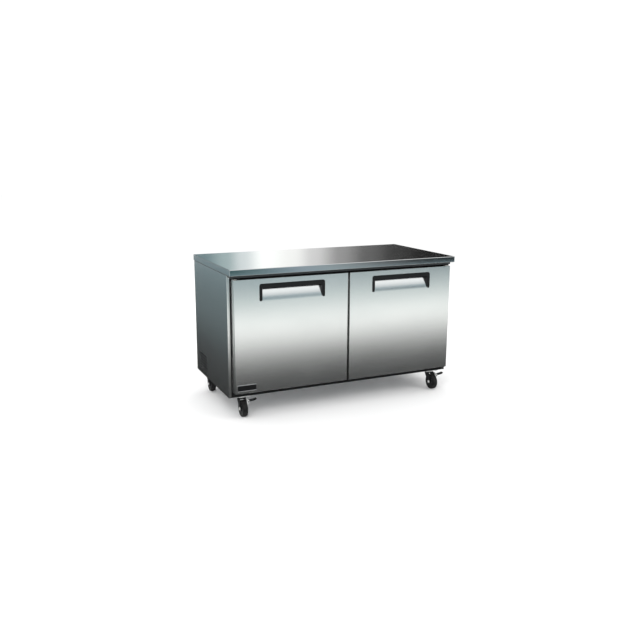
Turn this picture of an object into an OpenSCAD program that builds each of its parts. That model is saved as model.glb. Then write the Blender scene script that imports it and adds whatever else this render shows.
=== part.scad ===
// Two-door undercounter refrigerator on four swivel casters.
// Millimetres, +Z up, doors facing -Y. The origin is on the floor, under the
// middle of the worktop.

/* [Worktop] */
// Width of the worktop over its two ends
worktop_w = 1530; // [1200:10:1800]
// Depth of the worktop, front to back
worktop_d = 762; // [720:2:800]
// Height of the worktop above the floor
overall_h = 905; // [880:1:940]
// Height of the worktop's turned-down edge
worktop_edge_h = 38; // [30:1:50]

/* [Cabinet] */
// How far the worktop stands over each side panel
side_reveal = 2.5; // [1:0.5:6]
// How far the cabinet's face lies behind the worktop's front edge
face_setback = 66; // [62:1:80]
// How far the cabinet's back lies inside the worktop's back edge
back_setback = 6; // [2:1:12]
// Thickness of the outer sheet steel
sheet_t = 1.2; // [0.8:0.1:2]
// Thickness of the insulated side walls
wall_t = 53; // [45:1:60]
// Height of the dark rail below the doors
base_rail_h = 30; // [24:1:36]
// Height of the rail between the doors and the worktop
header_h = 16; // [12:1:20]

/* [Doors] */
// Thickness of a door without its gasket
door_t = 50; // [44:1:54]
// Distance from the cabinet's side to a door's outer edge
door_inset = 23.5; // [20:0.5:30]
// Gap between the two doors
door_gap = 13; // [8:1:18]
// Gap between a door and the header rail
door_top_gap = 8; // [7:0.5:12]
// Gap between a door and the base rail
door_bottom_gap = 6; // [5:0.5:10]

/* [Handles] */
// Width of a handle's trim
handle_w = 420; // [300:10:460]
// Height of a handle's trim
handle_h = 103; // [90:1:120]
// Distance from the door's top to the trim
handle_drop = 30; // [20:1:60]
// Depth of the finger recess at its top
recess_depth = 34; // [26:1:36]

/* [Casters] */
// Height of a caster, floor to mounting face
caster_h = 127; // [125:1:140]
// Diameter of the wheels
wheel_dia = 100; // [90:1:100]
// Width of the wheels
wheel_w = 32; // [28:1:34]
// Horizontal offset of the axle from the swivel axis
caster_trail = 32; // [25:1:36]
// Distance of the front swivel axes from the middle of the cabinet
caster_x = 672; // [640:1:680]
// Distance of the rear swivel axes from the middle of the cabinet
rear_caster_x = 702; // [660:1:706]

/* [Shelves] */
// Height of the shelves above the floor
shelf_z = 480; // [440:10:520]
// Diameter of the shelf wires
wire_t = 5; // [4:0.5:7]
// Distance between the shelf wires
wire_pitch = 26; // [22:1:34]

/* [Hidden] */
$fn = 64;

// Cabinet planes
half_w = worktop_w / 2 - side_reveal;
face_y = -worktop_d / 2 + face_setback;
back_y = worktop_d / 2 - back_setback;
base_z = caster_h;
worktop_z = overall_h - worktop_edge_h;
worktop_hem = 30;
reveal_h = 3;
side_top_z = worktop_z - reveal_h;
flange_w = 17.5;
flange_depth = 15;
rear_flange_w = 22;
slip = 0.4;

// Inside of the cold compartment
liner_t = 1.2;
cavity_x = half_w - wall_t - liner_t;
cavity_floor_z = base_z + 64;
cavity_top_z = worktop_z - 55;
cavity_back_y = back_y - 50;
step_y = 84;
step_z = 340;
bay_y = 125;
bay_top_z = 300;
pan_t = 2;

mullion_half_w = 34;
mullion_d = 40;

// Header and base rail
header_front_y = face_y - 36;
header_end = 10;
base_rail_top_z = base_z + base_rail_h;
base_rail_depth = 31;

// Doors, drawn for the left side
door_back_y = face_y - 6;
door_front_y = door_back_y - door_t;
door_x0 = -(half_w - door_inset);
door_x1 = -door_gap / 2;
door_z0 = base_rail_top_z + door_bottom_gap;
door_z1 = worktop_z - header_h - door_top_gap;
door_mid_x = (door_x0 + door_x1) / 2;
skin_t = 1.2;
door_liner_t = 1.4;
hinge_x = door_x0 + 16;
hinge_y = door_back_y - 22;
pin_r = 5;
bush_r = 9;
bush_flange_r = 12;
bush_len = 20;
bush_flange_t = 1.5;
bracket_t = 4;
bracket_w = 46;
gasket_inset = 13;
gasket_w = 13;
gasket_back_y = face_y - 0.8;

// Handle recess and trim
trim_top_z = door_z1 - handle_drop;
trim_bottom_z = trim_top_z - handle_h;
trim_leg_w = 17;
trim_bar_h = 28;
trim_proud = 2.5;
trim_corner_r = 14;
trim_inner_half_w = handle_w / 2 - trim_leg_w;
recess_half_w = trim_inner_half_w + 1;
recess_top_z = trim_top_z - 16;
cheek_t = 2;
badge_w = 120;
badge_h = 38;
badge_t = 2;

// Casters
axle_z = wheel_dia / 2;
front_swivel_y = -273;
rear_swivel_y = 280;
plate_x = 100;
plate_y = 80;
plate_t = 3;
plate_bolt_x = 76;
plate_bolt_y = 56;
rail_bolt_rows = [front_swivel_y - plate_bolt_y / 2];
pan_bolt_rows = [front_swivel_y + plate_bolt_y / 2,
    rear_swivel_y - plate_bolt_y / 2, rear_swivel_y + plate_bolt_y / 2];
boss_h = 8;
bolt_r = 4;
race_r = 28;
race_h = 12;
crown_top_z = base_z - plate_t - race_h - 0.5;
crown_t = 6;
crown_z = crown_top_z - crown_t;
kingpin_r = 6;
kingpin_head_r = 10;
kingpin_head_t = 3;
running_gap = 0.05;
leg_t = 3;
leg_gap = 1.5;
leg_x = wheel_w / 2 + leg_gap;
axle_r = 6;
pedal_pivot_x = 31;
pedal_pivot_z = 92;
pedal_pin_r = 2.5;
pedal_reach = 86;
pedal_half_w = 13;
pad_half_w = 6;
pad_window_z0 = 69;
pad_window_z1 = 92;

// Machine bay and evaporator
fan_r = 74;
condenser_x = -735;
condenser_fan_x = -676;
condenser_fan_y = 250;
condenser_fan_z = 214;
evaporator_half_w = 260;
evaporator_y = 200;
evaporator_z0 = 590;
evaporator_z1 = 806;
evaporator_fan_z = 700;
compressor_x = -420;
compressor_y = 255;
compressor_r = 74;
compressor_z = base_z + 18;
condenser_row_z = 58;
knob_x = 200;
knob_z = 640;
switch_x = 560;
switch_z = 250;
inlet_z = 180;

// Shelves
shelf_x0 = -(cavity_x - 8);
shelf_x1 = -6;
shelf_y0 = -258;
shelf_y1 = 314;

// ---- helpers ----

// Box between two corners
module box(x0, x1, y0, y1, z0, z1) {
    translate([x0, y0, z0]) cube([x1 - x0, y1 - y0, z1 - z0]);
}

// Round rods along each axis
module rod_x(r, x0, x1, y, z) {
    translate([x0, y, z]) rotate([0, 90, 0]) cylinder(r = r, h = x1 - x0);
}

module rod_y(r, y0, y1, x, z) {
    translate([x, y1, z]) rotate([90, 0, 0]) cylinder(r = r, h = y1 - y0);
}

module rod_z(r, z0, z1, x, y) {
    translate([x, y, z0]) cylinder(r = r, h = z1 - z0);
}

// Outline in Y and Z, run along X
module along_x(x0, x1) {
    translate([x0, 0, 0]) rotate([90, 0, 90]) linear_extrude(x1 - x0) children();
}

// Outline in X and Z, run along Y
module along_y(y0, y1) {
    translate([0, y1, 0]) rotate([90, 0, 0]) linear_extrude(y1 - y0) children();
}

// What is drawn for the left side, on the side that s names (-1 or 1)
module on_side(s) {
    if (s > 0) mirror([1, 0, 0]) children();
    else children();
}

// ---- cabinet ----

// Box under the worktop, inset by d all round
module worktop_inner(d, z0, z1) {
    box(-worktop_w / 2 + d, worktop_w / 2 - d, -worktop_d / 2 + d, worktop_d / 2 - d, z0, z1);
}

// Folded pan with a hem turned in along its lower edge
module worktop() {
    color("gainsboro") difference() {
        worktop_inner(0, worktop_z, overall_h);
        worktop_inner(sheet_t, worktop_z + sheet_t, overall_h - sheet_t);
        worktop_inner(worktop_hem, worktop_z - 1, worktop_z + sheet_t + 1);
    }
}

// Channel under the worktop's front edge, open to the back
module header_rail() {
    x = half_w - header_end;
    z0 = worktop_z - header_h;
    color("dimgray") difference() {
        box(-x, x, header_front_y, face_y, z0, worktop_z);
        box(-x - 1, x + 1, header_front_y + sheet_t, face_y + 1, z0 + sheet_t, worktop_z - sheet_t);
    }
}

// Slots low at the rear, where the condenser blows out
louvre_count = 7;
louvre_pitch = 18.5;
louvre_gap = 7;
louvre_y0 = back_y - 245;
louvre_y1 = back_y - 60;
louvre_z = base_z + 20;

module louvre_cuts() {
    for (i = [0 : louvre_count - 1])
        box(-half_w - 1, -half_w + 2, louvre_y0, louvre_y1,
            louvre_z + i * louvre_pitch, louvre_z + i * louvre_pitch + louvre_gap);
}

// Sloping blade behind each slot
module louvre_blades() {
    for (i = [0 : louvre_count - 1])
        translate([-half_w + sheet_t, 0, louvre_z + i * louvre_pitch + louvre_gap])
            rotate([0, -30, 0])
                translate([-0.4, louvre_y0 - 2, -11])
                    cube([1, louvre_y1 - louvre_y0 + 4, 13]);
}

// Outer skin with a flange on the face, its return, and a flange at the back
module side_panel(louvred) {
    x0 = -half_w;
    difference() {
        union() {
            box(x0, x0 + sheet_t, face_y, back_y, base_z, side_top_z);
            box(x0, x0 + flange_w, face_y, face_y + sheet_t, base_z, side_top_z);
            box(x0 + flange_w - sheet_t, x0 + flange_w, face_y, face_y + flange_depth,
                base_z, side_top_z);
            box(x0, x0 + rear_flange_w, back_y - sheet_t, back_y, base_z, side_top_z);
        }
        if (louvred) louvre_cuts();
    }
    if (louvred) louvre_blades();
}

module left_side_panel() {
    color("lightsteelblue") side_panel(true);
}

module right_side_panel() {
    color("lightsteelblue") on_side(1) side_panel(false);
}

module back_panel() {
    x = half_w - rear_flange_w - slip;
    color("silver") box(-x, x, back_y - sheet_t, back_y, bay_top_z + 3, side_top_z);
}

// Removable cover of the machine bay, with three banks of air slots
grille_banks = 3;
grille_rows = 8;
grille_slot_w = 300;
grille_bank_pitch = 380;
grille_row_pitch = 17;

module rear_grille() {
    x = half_w - rear_flange_w - slip;
    z0 = base_z + pan_t + 1;
    color("silver") difference() {
        box(-x, x, back_y - sheet_t, back_y, z0, bay_top_z + 2);
        for (b = [0 : grille_banks - 1], r = [0 : grille_rows - 1])
            translate([-650 + b * grille_bank_pitch, back_y - 3, z0 + 20 + r * grille_row_pitch])
                cube([grille_slot_w, 6, 6]);
        box(switch_x - 10.2, switch_x + 10.2, back_y - 3, back_y + 1,
            switch_z - 14.2, switch_z + 14.2);
        box(switch_x - 14.2, switch_x + 14.2, back_y - 3, back_y + 1,
            inlet_z - 10.2, inlet_z + 10.2);
    }
}

// Floor of the cabinet, with a boss for each caster bolt
module base_pan() {
    x = half_w - sheet_t - slip;
    color("silver") difference() {
        union() {
            box(-x, x, face_y + base_rail_depth + slip, back_y - sheet_t - slip,
                base_z, base_z + pan_t);
            at_bolt_rows(pan_bolt_rows) boss();
        }
        at_bolt_rows(pan_bolt_rows) boss_hole();
    }
}

// Dark channel below the doors, open to the back
module base_rail() {
    x = half_w - flange_w - slip;
    color([0.12, 0.12, 0.13]) difference() {
        union() {
            difference() {
                box(-x, x, face_y, face_y + base_rail_depth, base_z, base_rail_top_z);
                box(-x - 1, x + 1, face_y + 1.5, face_y + base_rail_depth + 1,
                    base_z + 1.5, base_rail_top_z - 1.5);
            }
            at_bolt_rows(rail_bolt_rows) boss();
        }
        at_bolt_rows(rail_bolt_rows) boss_hole();
    }
}

// Foam between the outer skins and the liner, and inside the worktop
module insulation_slabs() {
    wall_x0 = -half_w + sheet_t + 0.1;
    wall_x1 = -cavity_x - liner_t - 0.1;
    inner_x = cavity_x + liner_t - 0.3;
    back_y1 = back_y - sheet_t - 0.1;
    front_y0 = face_y + base_rail_depth + slip;
    pan_top = base_z + 8.5;
    color("khaki") {
        for (s = [-1, 1]) on_side(s) {
            box(wall_x0, wall_x1, front_y0, bay_y, pan_top, side_top_z);
            box(wall_x0, wall_x1, bay_y + slip, back_y1, bay_top_z, side_top_z);
        }
        box(-inner_x, inner_x, front_y0, back_y1, cavity_top_z + liner_t + 0.1, worktop_z - slip);
        box(-inner_x, inner_x, cavity_back_y + liner_t + 0.1, back_y1,
            bay_top_z, cavity_top_z + liner_t - slip);
        box(-inner_x, inner_x, front_y0, step_y + liner_t - slip,
            pan_top, cavity_floor_z - liner_t - 0.1);
        box(-inner_x, inner_x, step_y + liner_t + 0.1, bay_y, pan_top, bay_top_z - slip);
        box(-inner_x, inner_x, step_y + liner_t + 0.1, cavity_back_y + liner_t - slip,
            bay_top_z, step_z - liner_t - 0.1);
        worktop_inner(sheet_t + 0.1, worktop_z + sheet_t + 0.1, overall_h - sheet_t - 0.1);
    }
}

// Outline of the cold compartment from the side, grown by d and reaching forward
module cavity_outline(d, forward) {
    polygon([[face_y - forward, cavity_floor_z - d], [step_y + d, cavity_floor_z - d],
        [step_y + d, step_z - d], [cavity_back_y + d, step_z - d],
        [cavity_back_y + d, cavity_top_z + d], [face_y - forward, cavity_top_z + d]]);
}

module inner_liner() {
    color("white") difference() {
        along_x(-cavity_x - liner_t, cavity_x + liner_t) cavity_outline(liner_t, 0);
        along_x(-cavity_x, cavity_x) cavity_outline(0, 1);
    }
}

// Plastic strips round the door opening, between the skin and the liner
module breaker_strips() {
    x0 = -half_w + flange_w + slip;
    x1 = -cavity_x - liner_t - slip;
    y0 = face_y;
    y1 = face_y + 11;
    z0 = base_rail_top_z + slip;
    z1 = worktop_z - header_h - slip;
    color([0.1, 0.1, 0.1]) {
        for (s = [-1, 1]) on_side(s) box(x0, x1, y0, y1, z0, z1);
        box(x1 + slip, -x1 - slip, y0, y1, z0, cavity_floor_z - liner_t - slip);
        box(x1 + slip, -x1 - slip, y0, y1, cavity_top_z + liner_t + slip, z1);
    }
}

// Hollow post behind the gap between the doors
module mullion() {
    color("silver") difference() {
        box(-mullion_half_w, mullion_half_w, face_y, face_y + mullion_d,
            cavity_floor_z + slip, cavity_top_z - slip);
        box(-mullion_half_w + 1.5, mullion_half_w - 1.5, face_y + 1.5, face_y + mullion_d - 1.5,
            cavity_floor_z - 1, cavity_top_z + 1);
    }
}

// ---- shelves ----

standard_w = 20;
standard_d = 6;
standard_z0 = 370;
standard_z1 = 585;
standard_slot_pitch = 25;

// Slotted strip standing on a wall that faces +Y
module standard() {
    difference() {
        box(-standard_w / 2, standard_w / 2, 0, standard_d, standard_z0, standard_z1);
        box(-standard_w / 2 + 1.5, standard_w / 2 - 1.5, -1, standard_d - 1.5,
            standard_z0 - 1, standard_z1 + 1);
        for (z = [standard_z0 + 20 : standard_slot_pitch : standard_z1 - 20])
            box(-4, 4, standard_d - 3, standard_d + 1, z, z + 10);
    }
}

// Places of the four strips that hold one shelf, for the left bay
module at_standards() {
    for (y = [-200, 240])
        translate([-cavity_x + 0.1, y, 0]) rotate([0, 0, -90]) children();
    translate([-11.5, face_y + mullion_d + 0.1, 0]) children();
    translate([-11.5, cavity_back_y - 0.1, 0]) rotate([0, 0, 180]) children();
}

module shelf_standards() {
    color("silver") for (s = [-1, 1]) on_side(s) at_standards() standard();
}

// Hooked clip: a tongue in the slot and a ledge below the shelf
module shelf_clip() {
    box(-3.4, 3.4, standard_d - 1.2, standard_d + 1.5, shelf_z - 14, shelf_z - 7);
    box(-8, 8, standard_d + 0.1, standard_d + 2, shelf_z - 15, shelf_z - 0.1);
    box(-8, 8, standard_d + 0.1, standard_d + 12, shelf_z - 2, shelf_z - 0.1);
}

module shelf_clips() {
    color("silver") for (s = [-1, 1]) on_side(s) at_standards() shelf_clip();
}

// Welded wire grid: a rim, three cross wires and the long wires
module wire_shelf() {
    w = shelf_x1 - shelf_x0;
    d = shelf_y1 - shelf_y0;
    slots = floor((w - wire_t) / wire_pitch);
    slot_pitch = (w - wire_t) / slots;
    rows = 3;
    row_pitch = (d - wire_t) / rows;
    translate([shelf_x0, shelf_y0, shelf_z]) linear_extrude(wire_t) difference() {
        square([w, d]);
        for (i = [0 : slots - 1], j = [0 : rows - 1])
            translate([wire_t + i * slot_pitch, wire_t + j * row_pitch])
                square([slot_pitch - wire_t, row_pitch - wire_t]);
    }
}

module left_shelf() {
    color("whitesmoke") wire_shelf();
}

module right_shelf() {
    color("whitesmoke") on_side(1) wire_shelf();
}

// ---- hinges ----

module hinge_bracket_pair() {
    x0 = door_x0 - 2;
    top_z = worktop_z - header_h;
    bottom_z = base_rail_top_z + 2;
    box(x0, x0 + bracket_w, hinge_y - 14, face_y - 0.5, top_z - bracket_t, top_z);
    rod_z(pin_r, door_z1 - bush_len + 2, top_z - 1, hinge_x, hinge_y);
    box(x0, x0 + bracket_w, hinge_y - 14, face_y, bottom_z - bracket_t, bottom_z);
    box(x0, x0 + bracket_w, face_y - 3, face_y, base_z + 3, bottom_z);
    rod_z(pin_r, bottom_z - 3, door_z0 + bush_len - 2, hinge_x, hinge_y);
}

module hinge_brackets() {
    color("silver") for (s = [-1, 1]) on_side(s) hinge_bracket_pair();
}

// ---- doors ----

// Space of the finger recess: a ramp that is deepest at its top, grown by d
module recess_space(d, forward) {
    along_x(door_mid_x - recess_half_w - d, door_mid_x + recess_half_w + d)
        polygon([[door_front_y - forward, trim_bottom_z - d],
            [door_front_y, trim_bottom_z - d],
            [door_front_y + recess_depth + d, recess_top_z + d],
            [door_front_y - forward, recess_top_z + d]]);
}

// Bores for the bushes at the top and the bottom of the door
module bush_bores(r) {
    rod_z(r, door_z1 - bush_len, door_z1 + 1, hinge_x, hinge_y);
    rod_z(r, door_z0 - 1, door_z0 + bush_len, hinge_x, hinge_y);
}

// Folded outer pan with the recess pressed into its front
module door_skin() {
    back = door_back_y - door_liner_t;
    difference() {
        union() {
            difference() {
                box(door_x0, door_x1, door_front_y, back, door_z0, door_z1);
                box(door_x0 + skin_t, door_x1 - skin_t, door_front_y + skin_t, back + 1,
                    door_z0 + skin_t, door_z1 - skin_t);
            }
            recess_space(skin_t, 0);
        }
        recess_space(0, 1);
        bush_bores(bush_r);
    }
}

module door_core() {
    difference() {
        box(door_x0 + skin_t, door_x1 - skin_t, door_front_y + skin_t, door_back_y - door_liner_t,
            door_z0 + skin_t, door_z1 - skin_t);
        recess_space(skin_t, 1);
        bush_bores(bush_r);
    }
}

// Inner sheet with a raised panel inside the gasket
module door_liner() {
    dyke = gasket_inset + gasket_w + 16;
    box(door_x0, door_x1, door_back_y - door_liner_t, door_back_y, door_z0, door_z1);
    box(door_x0 + dyke, door_x1 - dyke, door_back_y - 0.2, door_back_y + 12,
        door_z0 + dyke, door_z1 - dyke);
}

module door_gasket() {
    i = gasket_inset;
    j = gasket_inset + gasket_w;
    difference() {
        box(door_x0 + i, door_x1 - i, door_back_y, gasket_back_y, door_z0 + i, door_z1 - i);
        box(door_x0 + j, door_x1 - j, door_back_y - 1, gasket_back_y + 1, door_z0 + j, door_z1 - j);
    }
}

// Round-cornered arch: the face of the trim
module trim_outline() {
    x = handle_w / 2;
    r = trim_corner_r;
    leg_r = trim_leg_w / 2;
    inner_r = 6;
    difference() {
        union() {
            for (s = [-1, 1]) {
                translate([s * (x - r), trim_top_z - r]) circle(r);
                translate([s * (x - leg_r), trim_bottom_z + leg_r]) circle(leg_r);
            }
            translate([-x + r, trim_bottom_z + leg_r])
                square([2 * (x - r), handle_h - leg_r]);
            translate([-x, trim_bottom_z + leg_r]) square([2 * x, handle_h - leg_r - r]);
        }
        translate([-trim_inner_half_w + inner_r, trim_bottom_z - 1])
            square([2 * (trim_inner_half_w - inner_r), handle_h - trim_bar_h + 1]);
        translate([-trim_inner_half_w, trim_bottom_z - 1])
            square([2 * trim_inner_half_w, handle_h - trim_bar_h + 1 - inner_r]);
        for (s = [-1, 1])
            translate([s * (trim_inner_half_w - inner_r), trim_top_z - trim_bar_h - inner_r])
                circle(inner_r);
    }
}

// Trim: the arch, a cheek at each end of the recess and the grip behind the bar
module handle_trim() {
    translate([door_mid_x, 0, 0])
        along_y(door_front_y - trim_proud, door_front_y) trim_outline();
    for (s = [-1, 1])
        translate([door_mid_x + s * (recess_half_w - cheek_t / 2 - 0.1), 0, 0])
            along_x(-cheek_t / 2, cheek_t / 2) polygon([[door_front_y - 1, trim_bottom_z + 9],
                [door_front_y + 1, trim_bottom_z + 9],
                [door_front_y + recess_depth - 2, recess_top_z - 1.5],
                [door_front_y - 1, recess_top_z - 1.5]]);
    box(door_mid_x - recess_half_w + 1, door_mid_x + recess_half_w - 1,
        door_front_y - 1, door_front_y + 8, recess_top_z - 3.5, recess_top_z - 1.5);
}

// Flanged bushes that turn on the hinge pins
module door_bushes() {
    difference() {
        union() {
            bush_bores(bush_r);
            rod_z(bush_flange_r, door_z1, door_z1 + bush_flange_t, hinge_x, hinge_y);
            rod_z(bush_flange_r, door_z0 - bush_flange_t, door_z0, hinge_x, hinge_y);
        }
        rod_z(pin_r + running_gap, door_z1 - bush_len - 1, door_z1 + 5, hinge_x, hinge_y);
        rod_z(pin_r + running_gap, door_z0 - 5, door_z0 + bush_len + 1, hinge_x, hinge_y);
    }
}

module badge() {
    color([0.1, 0.1, 0.1])
        box(door_x0 + 11, door_x0 + 11 + badge_w, door_front_y - badge_t, door_front_y,
            door_z0 + 14, door_z0 + 14 + badge_h);
}

// ---- casters ----

// Bolt places of one mounting plate
module at_plate_bolts() {
    for (x = [-1, 1], y = [-1, 1])
        translate([x * plate_bolt_x / 2, y * plate_bolt_y / 2, 0]) children();
}

// Distance of a caster at depth y from the middle of the cabinet
function caster_x_at(y) = y < 0 ? caster_x : rear_caster_x;

// Bolts of all four plates that lie in the rows at the given y
module at_bolt_rows(rows) {
    for (x = [-1, 1], dx = [-1, 1], y = rows)
        translate([x * caster_x_at(y) + dx * plate_bolt_x / 2, y, 0]) children();
}

// Tapped boss for a caster bolt, and its hole
module boss() {
    rod_z(8, base_z, base_z + boss_h, 0, 0);
}

module boss_hole() {
    rod_z(bolt_r, base_z - 1, base_z + boss_h + 1, 0, 0);
}

// Plate, upper race and kingpin, which the fork turns on
module caster_plate() {
    plate_z = base_z - plate_t;
    difference() {
        box(-plate_x / 2, plate_x / 2, -plate_y / 2, plate_y / 2, plate_z, base_z);
        at_plate_bolts() rod_z(bolt_r + 0.4, plate_z - 1, base_z + 1, 0, 0);
    }
    rod_z(race_r, plate_z - race_h, plate_z, 0, 0);
    rod_z(kingpin_r, crown_z - 1, plate_z, 0, 0);
    rod_z(kingpin_head_r, crown_z - 0.5 - kingpin_head_t, crown_z - 0.5, 0, 0);
}

module caster_plates() {
    color("lightgray") for (x = [-1, 1], y = [front_swivel_y, rear_swivel_y])
        translate([x * caster_x_at(y), y, 0]) caster_plate();
}

module caster_bolts() {
    plate_z = base_z - plate_t;
    color("silver") at_bolt_rows(concat(rail_bolt_rows, pan_bolt_rows)) {
        rod_z(bolt_r, plate_z, base_z + 7, 0, 0);
        translate([0, 0, plate_z - 5]) cylinder(r = 7, h = 5, $fn = 6);
    }
}

// Outline of a fork leg in Y and Z, with the axle at y = -caster_trail
module leg_outline() {
    polygon([[-26, crown_top_z], [22, crown_top_z], [22, crown_z - 8],
        [-caster_trail + 13, axle_z - 3], [-caster_trail - 13, axle_z - 3],
        [-caster_trail - 14, axle_z + 18]]);
    translate([-caster_trail, axle_z]) circle(15);
}

// Fork drawn at the swivel axis; a braked one has a bracket on its +X leg
module fork(braked) {
    difference() {
        union() {
            rod_z(race_r, crown_z, crown_top_z, 0, 0);
            for (s = [-1, 1]) translate([s * (leg_x + leg_t / 2), 0, 0])
                along_x(-leg_t / 2, leg_t / 2) leg_outline();
            box(-leg_x - leg_t, leg_x + leg_t, -26, 22, crown_z, crown_top_z);
            if (braked) brake_bracket();
        }
        rod_z(kingpin_r + running_gap, crown_z - 1, crown_top_z + 1, 0, 0);
        rod_x(axle_r, -60, 60, -caster_trail, axle_z);
        if (braked) {
            rod_y(pedal_pin_r + running_gap, -caster_trail - 30, -caster_trail + 30,
                pedal_pivot_x, pedal_pivot_z);
            box(leg_x - 1, leg_x + leg_t + 3, -caster_trail - pad_half_w - 1.5,
                -caster_trail + pad_half_w + 1.5, pad_window_z0, pad_window_z1);
        }
    }
}

// Two ears that hold the pedal's pin
module brake_bracket() {
    x0 = leg_x + leg_t;
    ear_y = pedal_half_w + 1;
    box(x0 - 0.5, x0 + 2, -caster_trail - ear_y - 2, -caster_trail + ear_y + 2, 66, crown_top_z - 2);
    for (y = [-ear_y - 2, ear_y])
        translate([0, -caster_trail, 0]) along_y(y, y + 2) {
            translate([pedal_pivot_x, pedal_pivot_z]) circle(6);
            polygon([[x0, 72], [pedal_pivot_x + 4, pedal_pivot_z - 4],
                [pedal_pivot_x + 4, pedal_pivot_z + 4], [x0, crown_top_z - 2]]);
        }
}

// Brake lever: foot plate outside, pad arm reaching the wheel's side
module pedal() {
    y = -caster_trail;
    w = pedal_half_w;
    translate([0, y, 0]) along_y(-w, w) {
        translate([pedal_pivot_x, pedal_pivot_z]) circle(5);
        polygon([[pedal_pivot_x, pedal_pivot_z - 3], [pedal_reach - 14, pedal_pivot_z + 3],
            [pedal_reach, pedal_pivot_z + 10], [pedal_reach - 1, pedal_pivot_z + 13],
            [pedal_reach - 16, pedal_pivot_z + 8], [pedal_pivot_x, pedal_pivot_z + 3]]);
    }
    translate([0, y, 0]) along_y(-pad_half_w, pad_half_w)
        polygon([[pedal_pivot_x - 4, pedal_pivot_z], [pedal_pivot_x + 4, pedal_pivot_z],
            [pedal_pivot_x, 78], [wheel_w / 2 + 4.2, 74], [wheel_w / 2 + 4.2, 82]]);
    rod_y(pedal_pin_r, y - w - 3, y + w + 3, pedal_pivot_x, pedal_pivot_z);
}

// Wheel with a crowned tread, a recessed side and a hub bore
module wheel() {
    r = wheel_dia / 2;
    h = wheel_w / 2;
    bore = axle_r + running_gap;
    translate([0, -caster_trail, axle_z]) rotate([0, 90, 0]) rotate_extrude() difference() {
        union() {
            translate([bore, -h]) square([r - 5 - bore, 2 * h]);
            translate([bore, -h + 5]) square([r - bore, 2 * h - 10]);
            for (s = [-1, 1]) translate([r - 5, s * (h - 5)]) circle(5);
        }
        for (s = [-1, 1]) translate([17, s * h - 2.5]) square([r - 17 - 12, 5]);
    }
}

// Bolt through the legs, with its head and nut
module axle() {
    x = leg_x + leg_t;
    y = -caster_trail;
    rod_x(axle_r, -x, x, y, axle_z);
    translate([-x - 5, y, axle_z]) rotate([0, 90, 0]) cylinder(r = 10, h = 5, $fn = 6);
    translate([x, y, axle_z]) rotate([0, 90, 0]) cylinder(r = 10, h = 6, $fn = 6);
    rod_x(axle_r - 1, x, x + 8, y, axle_z);
}

// Caster places, with every wheel trailing forwards
module at_front(s) {
    translate([s * caster_x, front_swivel_y, 0]) children();
}

module at_rear(s) {
    translate([s * rear_caster_x, rear_swivel_y, 0]) children();
}

// ---- cooling system ----

// Block of fins with return bends at both ends
module coil(w, d, h, rows) {
    tube_r = 4;
    translate([-w / 2, -d / 2, -h / 2]) cube([w, d, h]);
    for (i = [0 : rows - 1], s = [-1, 1])
        translate([s * w / 2, 0, -h / 2 + (i + 0.5) * h / rows])
            rotate([90, 0, s > 0 ? 0 : 180]) rotate_extrude(angle = 180)
                translate([d / 4, 0]) circle(tube_r);
}

module evaporator_coil() {
    color("silver") translate([0, cavity_back_y - 32, evaporator_fan_z])
        difference() {
            cube([440, 40, 150], center = true);
            for (x = [-180 : 40 : 180]) translate([x, -20, 0]) cube([3, 6, 160], center = true);
        }
}

// Cover over the coil, open below, with a round outlet for the fan
module evaporator_housing() {
    x = evaporator_half_w;
    y0 = evaporator_y;
    y1 = cavity_back_y - 0.3;
    color("white") difference() {
        box(-x, x, y0, y1, evaporator_z0, evaporator_z1);
        box(-x + 1.5, x - 1.5, y0 + 1.5, y1 - 1.5, evaporator_z0 - 1, evaporator_z1 - 1.5);
        rod_y(fan_r + 4, y0 - 1, y0 + 3, 0, evaporator_fan_z);
        rod_y(5, y0 - 1, y0 + 3, knob_x, knob_z);
    }
}

// Pitched blades on a hub, turning about Y
module fan_blade(r) {
    rotate([90, 0, 0]) translate([0, 0, -9]) cylinder(r = 16, h = 18);
    for (a = [0 : 72 : 288]) rotate([0, a, 0]) intersection() {
        translate([0, 0, r / 2 + 6]) rotate([0, 0, 30]) cube([46, 1.6, r - 14], center = true);
        rotate([90, 0, 0]) translate([0, 0, -12]) cylinder(r = r, h = 24);
    }
}

// Shaded-pole motor on a cross strap
module fan_motor(strap_w) {
    rod_y(24, 14, 50, 0, 0);
    rod_y(3, -8, 15, 0, 0);
    box(-strap_w / 2, strap_w / 2, 26, 28, -10, 10);
}

module evaporator_fan_motor() {
    y = evaporator_y + 14;
    color("gray") translate([0, y, evaporator_fan_z]) fan_motor(2 * evaporator_half_w - 3.4);
}

module evaporator_fan_blade() {
    color("black") translate([0, evaporator_y + 14, evaporator_fan_z]) difference() {
        fan_blade(fan_r);
        rod_y(3 + running_gap, -20, 20, 0, 0);
    }
}

// Thermostat body behind the housing, with its shaft through the front
module thermostat() {
    y = evaporator_y + 1.7;
    color("dimgray") {
        box(knob_x - 22, knob_x + 22, y, y + 26, knob_z - 18, knob_z + 18);
        rod_y(3, evaporator_y - 14, y + 1, knob_x, knob_z);
    }
}

module temperature_knob() {
    y = evaporator_y;
    color("whitesmoke") difference() {
        union() {
            rod_y(16, y - 18, y - 2, knob_x, knob_z);
            box(knob_x - 2, knob_x + 2, y - 22, y - 17.5, knob_z - 14, knob_z + 14);
        }
        rod_y(3 + running_gap, y - 15, y, knob_x, knob_z);
    }
}

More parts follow.
